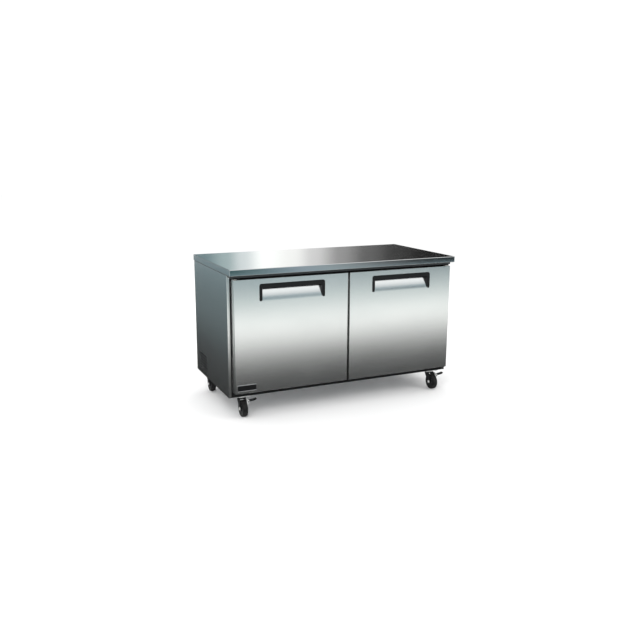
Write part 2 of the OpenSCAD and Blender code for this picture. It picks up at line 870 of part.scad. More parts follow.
// Hermetic can on rubber-footed rails
module compressor() {
    r = compressor_r;
    z0 = compressor_z;
    color([0.1, 0.1, 0.1]) {
        translate([compressor_x, compressor_y, z0]) rotate_extrude() {
            square([r, 90]);
            square([r - 24, 114]);
            intersection() {
                translate([r - 24, 90]) circle(24);
                square([r, 114]);
            }
        }
        box(compressor_x - 100, compressor_x + 100, compressor_y - 50, compressor_y + 50,
            z0 - 4, z0);
        for (x = [-86, 86], y = [-40, 40])
            rod_z(10, base_z + pan_t, z0 - 4, compressor_x + x, compressor_y + y);
        box(compressor_x + r - 8, compressor_x + r + 30, compressor_y - 25, compressor_y + 25,
            z0 + 20, z0 + 80);
    }
}

module condenser_coil() {
    color("darkgray") {
        translate([condenser_x + 20, condenser_fan_y, condenser_fan_z]) rotate([0, 0, 90])
            coil(190, 38, 140, 6);
    }
}

module condenser_fan_motor() {
    color("gray") {
        translate([condenser_fan_x, condenser_fan_y, condenser_fan_z]) rotate([0, 0, -90]) fan_motor(196);
        translate([condenser_fan_x - 14, condenser_fan_y, condenser_fan_z]) rotate([0, 90, 0])
            difference() {
                translate([-70, -97, 0]) cube([140, 194, 1.5]);
                translate([0, 0, -1]) cylinder(r = 66, h = 4);
            }
        for (s = [-1, 1])
            box(condenser_fan_x - 14, condenser_fan_x + 28,
                condenser_fan_y + s * 97 - 0.8, condenser_fan_y + s * 97 + 0.8,
                condenser_fan_z - 70, condenser_fan_z + 70);
    }
}

module condenser_fan_blade() {
    color("black") translate([condenser_fan_x, condenser_fan_y, condenser_fan_z])
        rotate([0, 0, -90]) difference() {
            fan_blade(62);
            rod_y(3 + running_gap, -20, 20, 0, 0);
        }
}

// Pipe through a list of points, with a brazed elbow at each
module pipe(points, r) {
    for (i = [0 : len(points) - 2]) {
        a = points[i];
        b = points[i + 1];
        d = b - a;
        length = norm(d);
        translate(a) rotate([0, acos(d[2] / length), atan2(d[1], d[0])])
            cylinder(r = r, h = length);
    }
    for (p = points) translate(p) sphere(1.2 * r);
}

// Discharge line to the condenser, and the liquid line with its drier
module refrigerant_lines() {
    hot_z = condenser_fan_z + condenser_row_z;
    cool_z = condenser_fan_z - condenser_row_z;
    x = condenser_x + 20;
    y = bay_y + 11;
    color("peru") {
        pipe([[compressor_x - 40, compressor_y, compressor_z + 118],
            [compressor_x - 40, compressor_y, hot_z + 14], [-560, compressor_y, hot_z + 14],
            [-560, y, hot_z], [x, y, hot_z]], 4);
        pipe([[x, y, cool_z], [-180, y, cool_z], [-180, y, bay_top_z - 4]], 3);
        rod_x(9, -430, -340, y, cool_z);
    }
}

module drain_pan() {
    color("silver") difference() {
        box(-150, 250, 180, 350, base_z + pan_t + 0.1, base_z + 32);
        box(-148.5, 248.5, 181.5, 348.5, base_z + pan_t + 1.6, base_z + 33);
    }
}

// Appliance inlet, and below it the housing of the rocker switch, in the rear cover
module power_inlet() {
    y = back_y;
    color([0.1, 0.1, 0.1]) difference() {
        union() {
            box(switch_x - 14, switch_x + 14, y - 26, y, inlet_z - 10, inlet_z + 10);
            box(switch_x - 18, switch_x + 18, y, y + 2.5, inlet_z - 14, inlet_z + 14);
        }
        box(switch_x - 12, switch_x + 12, y - 18, y + 3, inlet_z - 8, inlet_z + 8);
    }
    color([0.1, 0.1, 0.1]) difference() {
        box(switch_x - 10, switch_x + 10, y - 22, y + 1.5, switch_z - 14, switch_z + 14);
        box(switch_x - 8.6, switch_x + 8.6, y - 14, y + 3, switch_z - 12.8, switch_z + 12.8);
        rod_x(1.5 + running_gap, switch_x - 11, switch_x + 11, y - 4, switch_z);
    }
}

module power_switch() {
    y = back_y;
    color("darkred") {
        along_x(switch_x - 8, switch_x + 8) {
            translate([y - 4, switch_z]) circle(4);
            polygon([[y - 6, switch_z - 10], [y + 3, switch_z - 10], [y + 1, switch_z],
                [y + 1, switch_z + 10], [y - 6, switch_z + 10]]);
        }
        rod_x(1.5, switch_x - 9.8, switch_x + 9.8, y - 4, switch_z);
    }
}

worktop();
header_rail();
left_side_panel();
right_side_panel();
back_panel();
rear_grille();
base_pan();
base_rail();
insulation_slabs();
inner_liner();
breaker_strips();
mullion();
shelf_standards();
shelf_clips();
left_shelf();
right_shelf();
hinge_brackets();
caster_plates();
caster_bolts();
evaporator_coil();
evaporator_housing();
evaporator_fan_motor();
evaporator_fan_blade();
thermostat();
temperature_knob();
compressor();
condenser_coil();
condenser_fan_motor();
condenser_fan_blade();
refrigerant_lines();
drain_pan();
power_inlet();
power_switch();
color("lightgray") door_skin();  // left_door_skin
color("khaki") door_core();  // left_door_core
color("white") door_liner();  // left_door_liner
color("dimgray") door_gasket();  // left_door_gasket
color("black") handle_trim();  // left_handle_trim
color("white") door_bushes();  // left_door_bushes
color("lightgray") on_side(1) door_skin();  // right_door_skin
color("khaki") on_side(1) door_core();  // right_door_core
color("white") on_side(1) door_liner();  // right_door_liner
color("dimgray") on_side(1) door_gasket();  // right_door_gasket
color("black") on_side(1) handle_trim();  // right_handle_trim
color("white") on_side(1) door_bushes();  // right_door_bushes
badge();
color([0.15, 0.15, 0.15]) at_front(-1) fork(true);  // front_left_fork
color("black") at_front(-1) wheel();  // front_left_wheel
color("silver") at_front(-1) axle();  // front_left_axle
color("black") at_front(-1) pedal();  // front_left_pedal
color([0.15, 0.15, 0.15]) at_front(1) fork(true);  // front_right_fork
color("black") at_front(1) wheel();  // front_right_wheel
color("silver") at_front(1) axle();  // front_right_axle
color("black") at_front(1) pedal();  // front_right_pedal
color([0.15, 0.15, 0.15]) at_rear(-1) fork(false);  // rear_left_fork
color("black") at_rear(-1) wheel();  // rear_left_wheel
color("silver") at_rear(-1) axle();  // rear_left_axle
color([0.15, 0.15, 0.15]) at_rear(1) fork(false);  // rear_right_fork
color("black") at_rear(1) wheel();  // rear_right_wheel
color("silver") at_rear(1) axle();  // rear_right_axle
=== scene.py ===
"""Looks of a two-door undercounter refrigerator, built round its frame. Metres, doors facing -Y."""

import math

import bmesh
import bpy
from mathutils import Euler, Matrix, Vector


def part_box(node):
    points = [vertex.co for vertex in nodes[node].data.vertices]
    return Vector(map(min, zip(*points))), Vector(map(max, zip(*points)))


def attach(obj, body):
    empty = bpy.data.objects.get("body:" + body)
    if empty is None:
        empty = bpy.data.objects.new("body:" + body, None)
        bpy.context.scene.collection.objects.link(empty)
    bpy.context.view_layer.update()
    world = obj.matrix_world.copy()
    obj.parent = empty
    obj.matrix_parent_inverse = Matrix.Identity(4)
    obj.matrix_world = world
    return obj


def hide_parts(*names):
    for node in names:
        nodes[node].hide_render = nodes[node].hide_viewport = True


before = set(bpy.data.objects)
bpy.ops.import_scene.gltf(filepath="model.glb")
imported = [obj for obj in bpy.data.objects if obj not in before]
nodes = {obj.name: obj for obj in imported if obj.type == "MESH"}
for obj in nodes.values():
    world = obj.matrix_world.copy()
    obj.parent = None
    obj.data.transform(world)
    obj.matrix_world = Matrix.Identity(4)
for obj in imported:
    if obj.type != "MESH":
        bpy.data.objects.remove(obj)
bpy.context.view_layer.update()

MM = 0.001


# ---- camera ----

VIEW_TARGET = Vector((-0.0617, 0.0321, 0.5219))
VIEW_AZIMUTH = math.radians(-24.485)
VIEW_ELEVATION = math.radians(12.0)
VIEW_ROLL = math.radians(0.19)
VIEW_DISTANCE = 4.775
VIEW_LENS = 41.36


def add_camera():
    flat = math.cos(VIEW_ELEVATION)
    back = Vector((math.sin(VIEW_AZIMUTH) * flat, -math.cos(VIEW_AZIMUTH) * flat,
                   math.sin(VIEW_ELEVATION)))
    bpy.ops.object.camera_add(location=VIEW_TARGET + VIEW_DISTANCE * back)
    camera = bpy.context.object
    camera.name = "shop_camera"
    turn = Euler((math.pi / 2 - VIEW_ELEVATION, 0, VIEW_AZIMUTH)).to_matrix()
    camera.rotation_euler = (turn @ Matrix.Rotation(VIEW_ROLL, 3, "Z")).to_euler()
    camera.data.sensor_width = 36
    camera.data.lens = VIEW_LENS
    bpy.context.scene.camera = camera


add_camera()


# ---- node trees ----

def add_node(tree, kind, **settings):
    made = tree.nodes.new(kind)
    for name, value in settings.items():
        setattr(made, name, value)
    return made


def feed(tree, socket, value):
    """Links another node's output to a socket, or sets the socket's own value."""
    if isinstance(value, bpy.types.NodeSocket):
        tree.links.new(value, socket)
    else:
        socket.default_value = value


def maths(tree, operation, a, b=0.0):
    made = add_node(tree, "ShaderNodeMath", operation=operation)
    feed(tree, made.inputs[0], a)
    feed(tree, made.inputs[1], b)
    return made.outputs[0]


def spread(tree, value, low, high, out_low=0.0, out_high=1.0):
    """Maps a value's range to another, held at its ends."""
    made = add_node(tree, "ShaderNodeMapRange", clamp=True)
    for socket, number in zip(made.inputs, (value, low, high, out_low, out_high)):
        feed(tree, socket, number)
    return made.outputs[0]


def noise(tree, vector, scale, detail=2.0, roughness=0.5):
    made = add_node(tree, "ShaderNodeTexNoise")
    settings = {"Vector": vector, "Scale": scale, "Detail": detail, "Roughness": roughness}
    for label, value in settings.items():
        feed(tree, made.inputs[label], value)
    return made.outputs["Fac"]


def mix_colour(tree, factor, a, b):
    """Colour between a and b, each a socket or three numbers."""
    made = add_node(tree, "ShaderNodeMix", data_type="RGBA")
    for socket, value in ((0, factor), (6, a), (7, b)):
        feed(tree, made.inputs[socket], (*value, 1.0) if isinstance(value, tuple) else value)
    return made.outputs[2]


def shader_group(name, settings, outputs):
    """A node group fed with a place and its settings, with the sockets of its inputs and outputs."""
    group = bpy.data.node_groups.new(name, "ShaderNodeTree")
    for label, default in {"Vector": (0, 0, 0), **settings}.items():
        kind = "NodeSocketVector" if isinstance(default, tuple) else "NodeSocketFloat"
        socket = group.interface.new_socket(name=label, in_out="INPUT", socket_type=kind)
        socket.default_value = default
    for label in outputs:
        group.interface.new_socket(name=label, in_out="OUTPUT", socket_type="NodeSocketFloat")
    entry = group.nodes.new("NodeGroupInput")
    leave = group.nodes.new("NodeGroupOutput")
    return group, entry.outputs, leave.inputs


def brushed_grain_group():
    """Fine lines of a belt-ground sheet: a height, and how much the lines vary the gloss."""
    group, given, out = shader_group(
        "brushed_grain", {"Lines": (900, 900, 12), "Streaks": 0.5}, ("Height", "Gloss"))
    scaled = add_node(group, "ShaderNodeVectorMath", operation="MULTIPLY")
    feed(group, scaled.inputs[0], given["Vector"])
    feed(group, scaled.inputs[1], given["Lines"])
    fine = noise(group, scaled.outputs[0], 1.0, detail=3.0, roughness=0.7)
    coarse = noise(group, scaled.outputs[0], 0.16, detail=2.0)
    streak = maths(group, "MULTIPLY", maths(group, "SUBTRACT", coarse, 0.5), given["Streaks"])
    feed(group, out["Height"], maths(group, "ADD", fine, streak))
    feed(group, out["Gloss"], maths(group, "ADD", maths(group, "MULTIPLY", fine, 0.5), streak))
    return group


def wiping_group():
    """Soft marks that a wiped surface keeps: cloudy patches and long faint swipes."""
    group, given, out = shader_group("wiping_marks", {"Size": 3.0, "Contrast": 0.6}, ("Mask",))
    patches = noise(group, given["Vector"], given["Size"], detail=4.0, roughness=0.55)
    swipes = add_node(group, "ShaderNodeMapping")
    swipes.inputs["Rotation"].default_value = (0.4, 0.9, 0.3)
    swipes.inputs["Scale"].default_value = (1.0, 6.0, 2.0)
    feed(group, swipes.inputs["Vector"], given["Vector"])
    long_marks = noise(group, swipes.outputs[0], given["Size"], detail=3.0)
    both = maths(group, "MULTIPLY", patches, long_marks)
    feed(group, out["Mask"], maths(group, "MULTIPLY", spread(group, both, 0.18, 0.42),
                                   given["Contrast"]))
    return group


def edge_wear_group():
    """Bare edges: where the surface turns sharply, broken up by noise."""
    group, given, out = shader_group("edge_wear", {"Start": 0.52, "Break": 60.0}, ("Mask",))
    point = add_node(group, "ShaderNodeNewGeometry").outputs["Pointiness"]
    edge = spread(group, point, given["Start"], maths(group, "ADD", given["Start"], 0.07))
    broken = spread(group, noise(group, given["Vector"], given["Break"], detail=4.0), 0.42, 0.62)
    feed(group, out["Mask"], maths(group, "MULTIPLY", edge, broken))
    return group


def dust_group():
    """Dust that settles on what faces up."""
    group, given, out = shader_group("settled_dust", {"Amount": 0.3}, ("Mask",))
    normal = add_node(group, "ShaderNodeNewGeometry").outputs["Normal"]
    parts = add_node(group, "ShaderNodeSeparateXYZ")
    feed(group, parts.inputs[0], normal)
    level = spread(group, parts.outputs["Z"], 0.55, 0.95)
    patchy = spread(group, noise(group, given["Vector"], 22.0, detail=5.0), 0.35, 0.7)
    feed(group, out["Mask"], maths(group, "MULTIPLY", maths(group, "MULTIPLY", level, patchy),
                                   given["Amount"]))
    return group


def pebble_group():
    """Fine all-over texture of a moulded, sprayed or powder-coated skin."""
    group, given, out = shader_group("pebble", {"Scale": 900.0}, ("Height", "Tone"))
    fine = noise(group, given["Vector"], given["Scale"], detail=3.0, roughness=0.6)
    broad = noise(group, given["Vector"], maths(group, "MULTIPLY", given["Scale"], 0.02), detail=3.0)
    feed(group, out["Height"], fine)
    feed(group, out["Tone"], maths(group, "ADD", maths(group, "MULTIPLY", fine, 0.35),
                                   maths(group, "MULTIPLY", broad, 0.65)))
    return group


def spangle_group():
    """Crystal pattern of hot-dipped zinc: a tone for each crystal and its raised borders."""
    group, given, out = shader_group("zinc_spangle", {"Scale": 90.0}, ("Tone", "Height"))
    warp = add_node(group, "ShaderNodeVectorMath", operation="ADD")
    shift = add_node(group, "ShaderNodeTexNoise")
    feed(group, shift.inputs["Vector"], given["Vector"])
    feed(group, shift.inputs["Scale"], given["Scale"])
    softened = add_node(group, "ShaderNodeVectorMath", operation="SCALE")
    feed(group, softened.inputs[0], shift.outputs["Color"])
    softened.inputs["Scale"].default_value = 0.012
    feed(group, warp.inputs[0], given["Vector"])
    feed(group, warp.inputs[1], softened.outputs[0])
    cells = add_node(group, "ShaderNodeTexVoronoi")
    feed(group, cells.inputs["Vector"], warp.outputs[0])
    feed(group, cells.inputs["Scale"], given["Scale"])
    tone = add_node(group, "ShaderNodeSeparateColor")
    feed(group, tone.inputs[0], cells.outputs["Color"])
    feed(group, out["Tone"], tone.outputs[0])
    feed(group, out["Height"], cells.outputs["Distance"])
    return group


GRAIN = brushed_grain_group()
WIPING = wiping_group()
WEAR = edge_wear_group()
DUST = dust_group()
PEBBLE = pebble_group()
SPANGLE = spangle_group()


class Finish:
    """A material under construction: its shader, its object coordinates and its effects."""

    def __init__(self, name, **shader_values):
        self.material = bpy.data.materials.new(name)
        self.material.use_nodes = True
        self.tree = self.material.node_tree
        self.shader = self.tree.nodes["Principled BSDF"]
        self.place = add_node(self.tree, "ShaderNodeTexCoord").outputs["Object"]
        for label, value in shader_values.items():
            self.set(label.replace("_", " "), value)

    def set(self, label, value):
        feed(self.tree, self.shader.inputs[label], value)

    def use(self, group, **values):
        """Places an effect group, fed with object coordinates, and returns its outputs."""
        made = add_node(self.tree, "ShaderNodeGroup", node_tree=group)
        feed(self.tree, made.inputs["Vector"], self.place)
        for label, value in values.items():
            feed(self.tree, made.inputs[label], value)
        return made.outputs

    def bump(self, height, strength, distance):
        made = add_node(self.tree, "ShaderNodeBump")
        made.inputs["Strength"].default_value = strength
        made.inputs["Distance"].default_value = distance
        feed(self.tree, made.inputs["Height"], height)
        self.set("Normal", made.outputs["Normal"])

    def roughness(self, factor, low, high):
        self.set("Roughness", spread(self.tree, factor, 0.0, 1.0, low, high))

    def mix(self, factor, a, b):
        return mix_colour(self.tree, factor, a, b)

    def weigh(self, *masks):
        """Sum of masks, each given with its weight."""
        total = 0.0
        for mask, weight in masks:
            total = maths(self.tree, "ADD", maths(self.tree, "MULTIPLY", mask, weight), total)
        return total


# ---- finishes ----

ALONG_X = (14.0, 1500.0, 1500.0)
ALONG_Z = (1500.0, 1500.0, 14.0)


def toned(colour, factor):
    return tuple(factor * part for part in colour)


def brushed_steel(name, lines, tint=(0.70, 0.71, 0.70), gloss=(0.17, 0.27)):
    """Satin stainless sheet with its grain along one axis and faint wiping marks."""
    made = Finish(name, Metallic=1.0)
    grain = made.use(GRAIN, Lines=lines, Streaks=0.35)
    marks = made.use(WIPING, Size=2.6, Contrast=0.5)["Mask"]
    ground = made.mix(grain["Gloss"], toned(tint, 0.9), tint)
    made.set("Base Color", made.mix(marks, ground, toned(tint, 0.94)))
    made.roughness(made.weigh((grain["Gloss"], 0.7), (marks, 0.5)), *gloss)
    made.bump(grain["Height"], 0.10, 0.00012)
    return made.material


def galvanised_sheet():
    made = Finish("galvanised_sheet", Metallic=1.0)
    crystal = made.use(SPANGLE, Scale=95.0)
    marks = made.use(WIPING, Size=2.0, Contrast=0.8)["Mask"]
    plated = made.mix(crystal["Tone"], (0.46, 0.48, 0.50), (0.64, 0.66, 0.67))
    made.set("Base Color", made.mix(marks, plated, (0.42, 0.43, 0.43)))
    made.roughness(made.weigh((crystal["Tone"], 0.5), (marks, 1.0)), 0.30, 0.55)
    made.bump(crystal["Height"], 0.12, 0.0002)
    return made.material


def textured(name, colours, rough, scale, bump, marks=None, weights=(1.0, 0.0), wear=None, dust=None,
             **shader_values):
    """A finish with a fine all-over texture, and the marks, worn edges and dust that it is given.

    The two colours blend by the marks, or by the texture where there are none. The weights are the
    texture's and the marks' shares in the roughness. marks is (size, contrast), wear is
    (start, break, colour) and dust is (amount, colour).
    """
    made = Finish(name, **shader_values)
    skin = made.use(PEBBLE, Scale=scale)
    mask = made.use(WIPING, Size=marks[0], Contrast=marks[1])["Mask"] if marks else skin["Tone"]
    base = made.mix(mask, *colours)
    if wear:
        base = made.mix(made.use(WEAR, Start=wear[0], Break=wear[1])["Mask"], base, wear[2])
    if dust:
        base = made.mix(made.use(DUST, Amount=dust[0])["Mask"], base, dust[1])
    made.set("Base Color", base)
    made.roughness(made.weigh((skin["Tone"], weights[0]), (mask, weights[1])), *rough)
    made.bump(skin["Height"], *bump)
    return made.material


def coated_black(name, tint, rough, scale=850.0, worn=(0.05, 0.05, 0.053)):
    """Black paint or black moulding: pebbled, dusty on top and rubbed at its edges."""
    return textured(name, (toned(tint, 0.75), toned(tint, 1.25)), rough, scale, (0.22, 0.00025),
                    wear=(0.55, 90.0, worn), dust=(0.06, (0.20, 0.195, 0.19)), Specular_IOR_Level=0.16)


def smooth_white(name, tint, rough, scale=400.0):
    """White lacquer or moulding with a slight orange peel and grey handling marks."""
    return textured(name, (tint, toned(tint, 0.86)), rough, scale, (0.15, 0.0003),
                    marks=(5.0, 0.3), weights=(0.4, 1.0), dust=(0.06, (0.55, 0.54, 0.51)))


def plain_metal(name, dark, light, rough):
    """Bare or drawn metal with tarnish clouds."""
    return textured(name, (light, dark), rough, 300.0, (0.12, 0.0002),
                    marks=(14.0, 0.9), weights=(0.2, 0.8), Metallic=1.0)


JET = (0.006, 0.0065, 0.007)
STEEL_X = brushed_steel("brushed_steel_lengthwise", ALONG_X, (0.70, 0.705, 0.70), (0.14, 0.22))
WORKTOP_EDGE = brushed_steel("brushed_steel_edge", ALONG_X, (0.68, 0.69, 0.69), (0.06, 0.11))
STEEL_Z = brushed_steel("brushed_steel_upright", ALONG_Z)
GALVANISED = galvanised_sheet()
RAIL_PAINT = textured(
    "dark_rail_paint", ((0.022, 0.025, 0.028), (0.029, 0.033, 0.036)), (0.33, 0.38), 700.0,
    (0.08, 0.0002), dust=(0.1, (0.16, 0.16, 0.15)), Specular_IOR_Level=0.35)
ZINC = textured(
    "zinc_plating", ((0.80, 0.81, 0.80), (0.62, 0.63, 0.62)), (0.22, 0.48), 1400.0, (0.10, 0.00015),
    marks=(30.0, 0.9), weights=(0.3, 0.7), wear=(0.53, 120.0, (0.86, 0.86, 0.85)), Metallic=0.45)
VINYL = textured(
    "gasket_vinyl", ((0.10, 0.105, 0.11), (0.17, 0.17, 0.17)), (0.42, 0.62), 600.0, (0.2, 0.0002),
    marks=(8.0, 0.6))
TREAD = textured(
    "wheel_tread", ((0.006, 0.006, 0.0065), (0.022, 0.021, 0.02)), (0.45, 0.75), 500.0, (0.3, 0.0003),
    marks=(45.0, 1.0), weights=(0.5, 1.0), dust=(0.06, (0.17, 0.16, 0.15)), Specular_IOR_Level=0.2)
FOAM = textured("injected_foam", ((0.58, 0.43, 0.20), (0.80, 0.66, 0.38)), (0.75, 0.95), 260.0,
                (0.7, 0.001))
BLACK_MOULDING = coated_black("black_moulding", JET, (0.28, 0.44))
BLACK_PAINT = coated_black("black_powder_paint", JET, (0.40, 0.48), 600.0, worn=(0.09, 0.09, 0.09))
STRIP_MOULDING = coated_black(
    "strip_moulding", (0.007, 0.0075, 0.008), (0.32, 0.40), worn=(0.010, 0.010, 0.011))
CAN_ENAMEL = coated_black("can_enamel", (0.015, 0.015, 0.017), (0.18, 0.32), 420.0)
ROCKER_RED = coated_black("rocker_moulding", (0.30, 0.012, 0.010), (0.24, 0.38),
                          worn=(0.36, 0.05, 0.04))
LINER_WHITE = smooth_white("liner_lacquer", (0.80, 0.81, 0.80), (0.22, 0.42))
SHELF_WHITE = smooth_white("shelf_coating", (0.78, 0.78, 0.76), (0.25, 0.45), 900.0)
NYLON = smooth_white("bush_nylon", (0.74, 0.73, 0.68), (0.35, 0.5))
FIN_METAL = plain_metal("fin_aluminium", (0.58, 0.59, 0.60), (0.80, 0.81, 0.82), (0.22, 0.4))
COPPER = plain_metal("drawn_copper", (0.42, 0.20, 0.12), (0.82, 0.46, 0.32), (0.2, 0.42))
MOTOR_METAL = plain_metal("motor_steel", (0.30, 0.30, 0.31), (0.52, 0.52, 0.53), (0.3, 0.5))
CHROME = plain_metal("bright_border", (0.70, 0.71, 0.72), (0.88, 0.89, 0.90), (0.10, 0.22))

NODE_FINISH = {
    "worktop": STEEL_X, "header_rail": RAIL_PAINT, "left_side_panel": STEEL_Z,
    "right_side_panel": STEEL_Z, "back_panel": GALVANISED, "rear_grille": GALVANISED,
    "base_pan": GALVANISED, "base_rail": RAIL_PAINT, "insulation_slabs": FOAM,
    "inner_liner": LINER_WHITE, "breaker_strips": STRIP_MOULDING, "mullion": STEEL_Z,
    "shelf_standards": STEEL_Z, "shelf_clips": ZINC, "hinge_brackets": ZINC,
    "caster_plates": ZINC, "caster_bolts": ZINC, "evaporator_coil": FIN_METAL,
    "evaporator_housing": LINER_WHITE, "evaporator_fan_motor": MOTOR_METAL,
    "evaporator_fan_blade": BLACK_MOULDING, "thermostat": BLACK_MOULDING,
    "temperature_knob": NYLON, "compressor": CAN_ENAMEL, "condenser_coil": FIN_METAL,
    "condenser_fan_motor": MOTOR_METAL, "condenser_fan_blade": BLACK_MOULDING,
    "refrigerant_lines": COPPER, "drain_pan": GALVANISED, "power_inlet": BLACK_MOULDING,
    "power_switch": ROCKER_RED, "badge": BLACK_MOULDING,
    "left_shelf": SHELF_WHITE, "right_shelf": SHELF_WHITE,
}
DOOR_FINISH = {
    "door_skin": STEEL_Z, "door_core": FOAM, "door_liner": LINER_WHITE,
    "door_gasket": VINYL, "handle_trim": BLACK_MOULDING, "door_bushes": NYLON,
}
CASTER_FINISH = {"fork": BLACK_PAINT, "wheel": TREAD, "axle": ZINC, "pedal": BLACK_MOULDING}
for side in ("left", "right"):
    for part, finish in DOOR_FINISH.items():
        NODE_FINISH[f"{side}_{part}"] = finish
for corner in ("front_left", "front_right", "rear_left", "rear_right"):
    for part, finish in CASTER_FINISH.items():
        NODE_FINISH[f"{corner}_{part}"] = finish

for name, obj in nodes.items():
    obj.data.materials.clear()
    obj.data.materials.append(NODE_FINISH[name])


# ---- bench tools ----

X, Y, Z = 0, 1, 2


def mm(x, y, z):
    return Vector((x, y, z)) * MM


def clear_selection():
    if bpy.context.object and bpy.context.object.mode != "OBJECT":
        bpy.ops.object.mode_set(mode="OBJECT")
    bpy.ops.object.select_all(action="DESELECT")


def take(piece):
    """Makes one piece the only selected and active object."""
    clear_selection()
    piece.select_set(True)
    bpy.context.view_layer.objects.active = piece


def settle(piece):
    """Puts a piece's place, turn and size into its mesh."""
    take(piece)
    bpy.ops.object.transform_apply(location=True, rotation=True, scale=True)
    return piece


def block(name, low, high):
    """A box between two corners, to be shaped."""
    clear_selection()
    low, high = Vector(low), Vector(high)
    bpy.ops.mesh.primitive_cube_add(size=1, location=(low + high) / 2)
    piece = bpy.context.object
    piece.name = name
    piece.scale = high - low
    return settle(piece)


def rod(name, radius, start, end, sides=32):
    """A round bar between two points, to be shaped."""
    clear_selection()
    start, end = Vector(start), Vector(end)
    run = end - start
    bpy.ops.mesh.primitive_cylinder_add(
        vertices=sides, radius=radius, depth=run.length, location=(start + end) / 2,
        rotation=run.to_track_quat("Z", "Y").to_euler())
    piece = bpy.context.object
    piece.name = name
    return settle(piece)


def centre_of(part):
    corners = [part.co] if isinstance(part, bmesh.types.BMVert) else [v.co for v in part.verts]
    return sum(corners, Vector()) / len(corners)


def pick(piece, kind, test):
    """Opens a piece for editing with only the VERT, EDGE or FACE parts that pass the test selected."""
    take(piece)
    bpy.ops.object.mode_set(mode="EDIT")
    bpy.ops.mesh.select_mode(type=kind)
    bpy.ops.mesh.select_all(action="DESELECT")
    mesh = bmesh.from_edit_mesh(piece.data)
    for part in {"VERT": mesh.verts, "EDGE": mesh.edges, "FACE": mesh.faces}[kind]:
        if test(part):
            part.select_set(True)
    mesh.select_flush_mode()
    bmesh.update_edit_mesh(piece.data)


def done():
    bpy.ops.object.mode_set(mode="OBJECT")


def facing(axis, sign):
    return lambda face: face.normal[axis] * sign > 0.9


def along(axis, also=None):
    """Picks edges that run along an axis, and that pass a further test of their middle."""
    def test(edge):
        run = (edge.verts[1].co - edge.verts[0].co).normalized()
        return abs(run[axis]) > 0.99 and (also is None or also(centre_of(edge)))
    return test


def every(part):
    return True


def open_up(piece, test):
    """Takes away the faces that pass the test."""
    pick(piece, "FACE", test)
    bpy.ops.mesh.delete(type="FACE")
    done()


def nudge(piece, test, shift):
    """Moves the corners that pass the test."""
    pick(piece, "VERT", test)
    bpy.ops.transform.translate(value=shift)
    done()


def draw_out(piece, kind, test, shift):
    """Extrudes the edges or faces that pass the test."""
    pick(piece, kind, test)
    bpy.ops.mesh.extrude_region_move(TRANSFORM_OT_translate={"value": shift})
    done()


def discard(piece):
    bpy.data.objects.remove(piece, do_unlink=True)


def round_edges(piece, test, radius, segments=4):
    pick(piece, "EDGE", test)
    bpy.ops.mesh.bevel(offset=radius, segments=segments, affect="EDGES", clamp_overlap=True)
    done()


def tidy_mesh(piece):
    """Merges doubles and turns every face outwards."""
    pick(piece, "VERT", every)
    bpy.ops.mesh.remove_doubles(threshold=1e-6)
    bpy.ops.mesh.normals_make_consistent(inside=False)
    done()


def apply_modifier(piece, kind, **settings):
    take(piece)
    made = piece.modifiers.new(kind.lower(), kind)
    for label, value in settings.items():
        setattr(made, label, value)
    bpy.ops.object.modifier_apply(modifier=made.name)


def bevel_all(piece, radius, segments=3, angle=35):
    apply_modifier(piece, "BEVEL", width=radius, segments=segments, limit_method="ANGLE",
                   angle_limit=math.radians(angle), miter_outer="MITER_ARC")


def thicken(piece, sheet):
    apply_modifier(piece, "SOLIDIFY", thickness=sheet, offset=-1.0, use_even_offset=True)


def cut(piece, *cutters):
    for cutter in cutters:
        apply_modifier(piece, "BOOLEAN", operation="DIFFERENCE", solver="EXACT", object=cutter)
        discard(cutter)


def soften(piece, angle=32):
    """Smooth shading over the rounded folds, with the flat faces kept flat."""
    take(piece)
    bpy.ops.mesh.customdata_custom_splitnormals_clear()
    bpy.ops.object.shade_smooth_by_angle(angle=math.radians(angle))
    apply_modifier(piece, "WEIGHTED_NORMAL", mode="FACE_AREA", weight=100, keep_sharp=True)
    return piece


def weld(name, pieces):
    """Joins several pieces into one object."""
    take(pieces[0])
    for piece in pieces:
        piece.select_set(True)
    bpy.ops.object.join()
    joined = bpy.context.object
    joined.name = name
    return joined


def weld_soft(name, pieces, angle=34):
    return soften(weld(name, pieces), angle)


def copy_of(piece, name, move=(0, 0, 0), turn=0.0, about=(0, 0, 0), mirrored=False):
    """A copy with its own mesh, turned about the vertical through a point, moved or mirrored in X."""
    take(piece)
    bpy.ops.object.duplicate(linked=False)
    twin = bpy.context.object
    twin.name = name
    about = Vector(about)
    placed = Matrix.Translation(Vector(move) + about) @ Matrix.Rotation(turn, 4, "Z")
    twin.matrix_world = placed @ Matrix.Translation(-about)
    if mirrored:
        twin.matrix_world = Matrix.Scale(-1, 4, (1, 0, 0)) @ twin.matrix_world
    settle(twin)
    if mirrored:
        pick(twin, "FACE", every)
        bpy.ops.mesh.flip_normals()
        done()
    return twin


def paint(piece, material, also=None, test=None):
    """Gives a piece its finish, and a second finish to the faces that pass the test."""
    piece.data.materials.clear()
    piece.data.materials.append(material)
    for face in piece.data.polygons:
        face.material_index = 0
    if also:
        piece.data.materials.append(also)
        for face in piece.data.polygons:
            if test(face):
                face.material_index = 1
    return piece


def fit(piece, body, slot, *replaced):
    """Hands a finished piece to its body and hides the frame nodes that it stands for. The slot is not
    used.
    """
    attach(piece, body)
    if replaced:
        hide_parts(*replaced)
    return piece


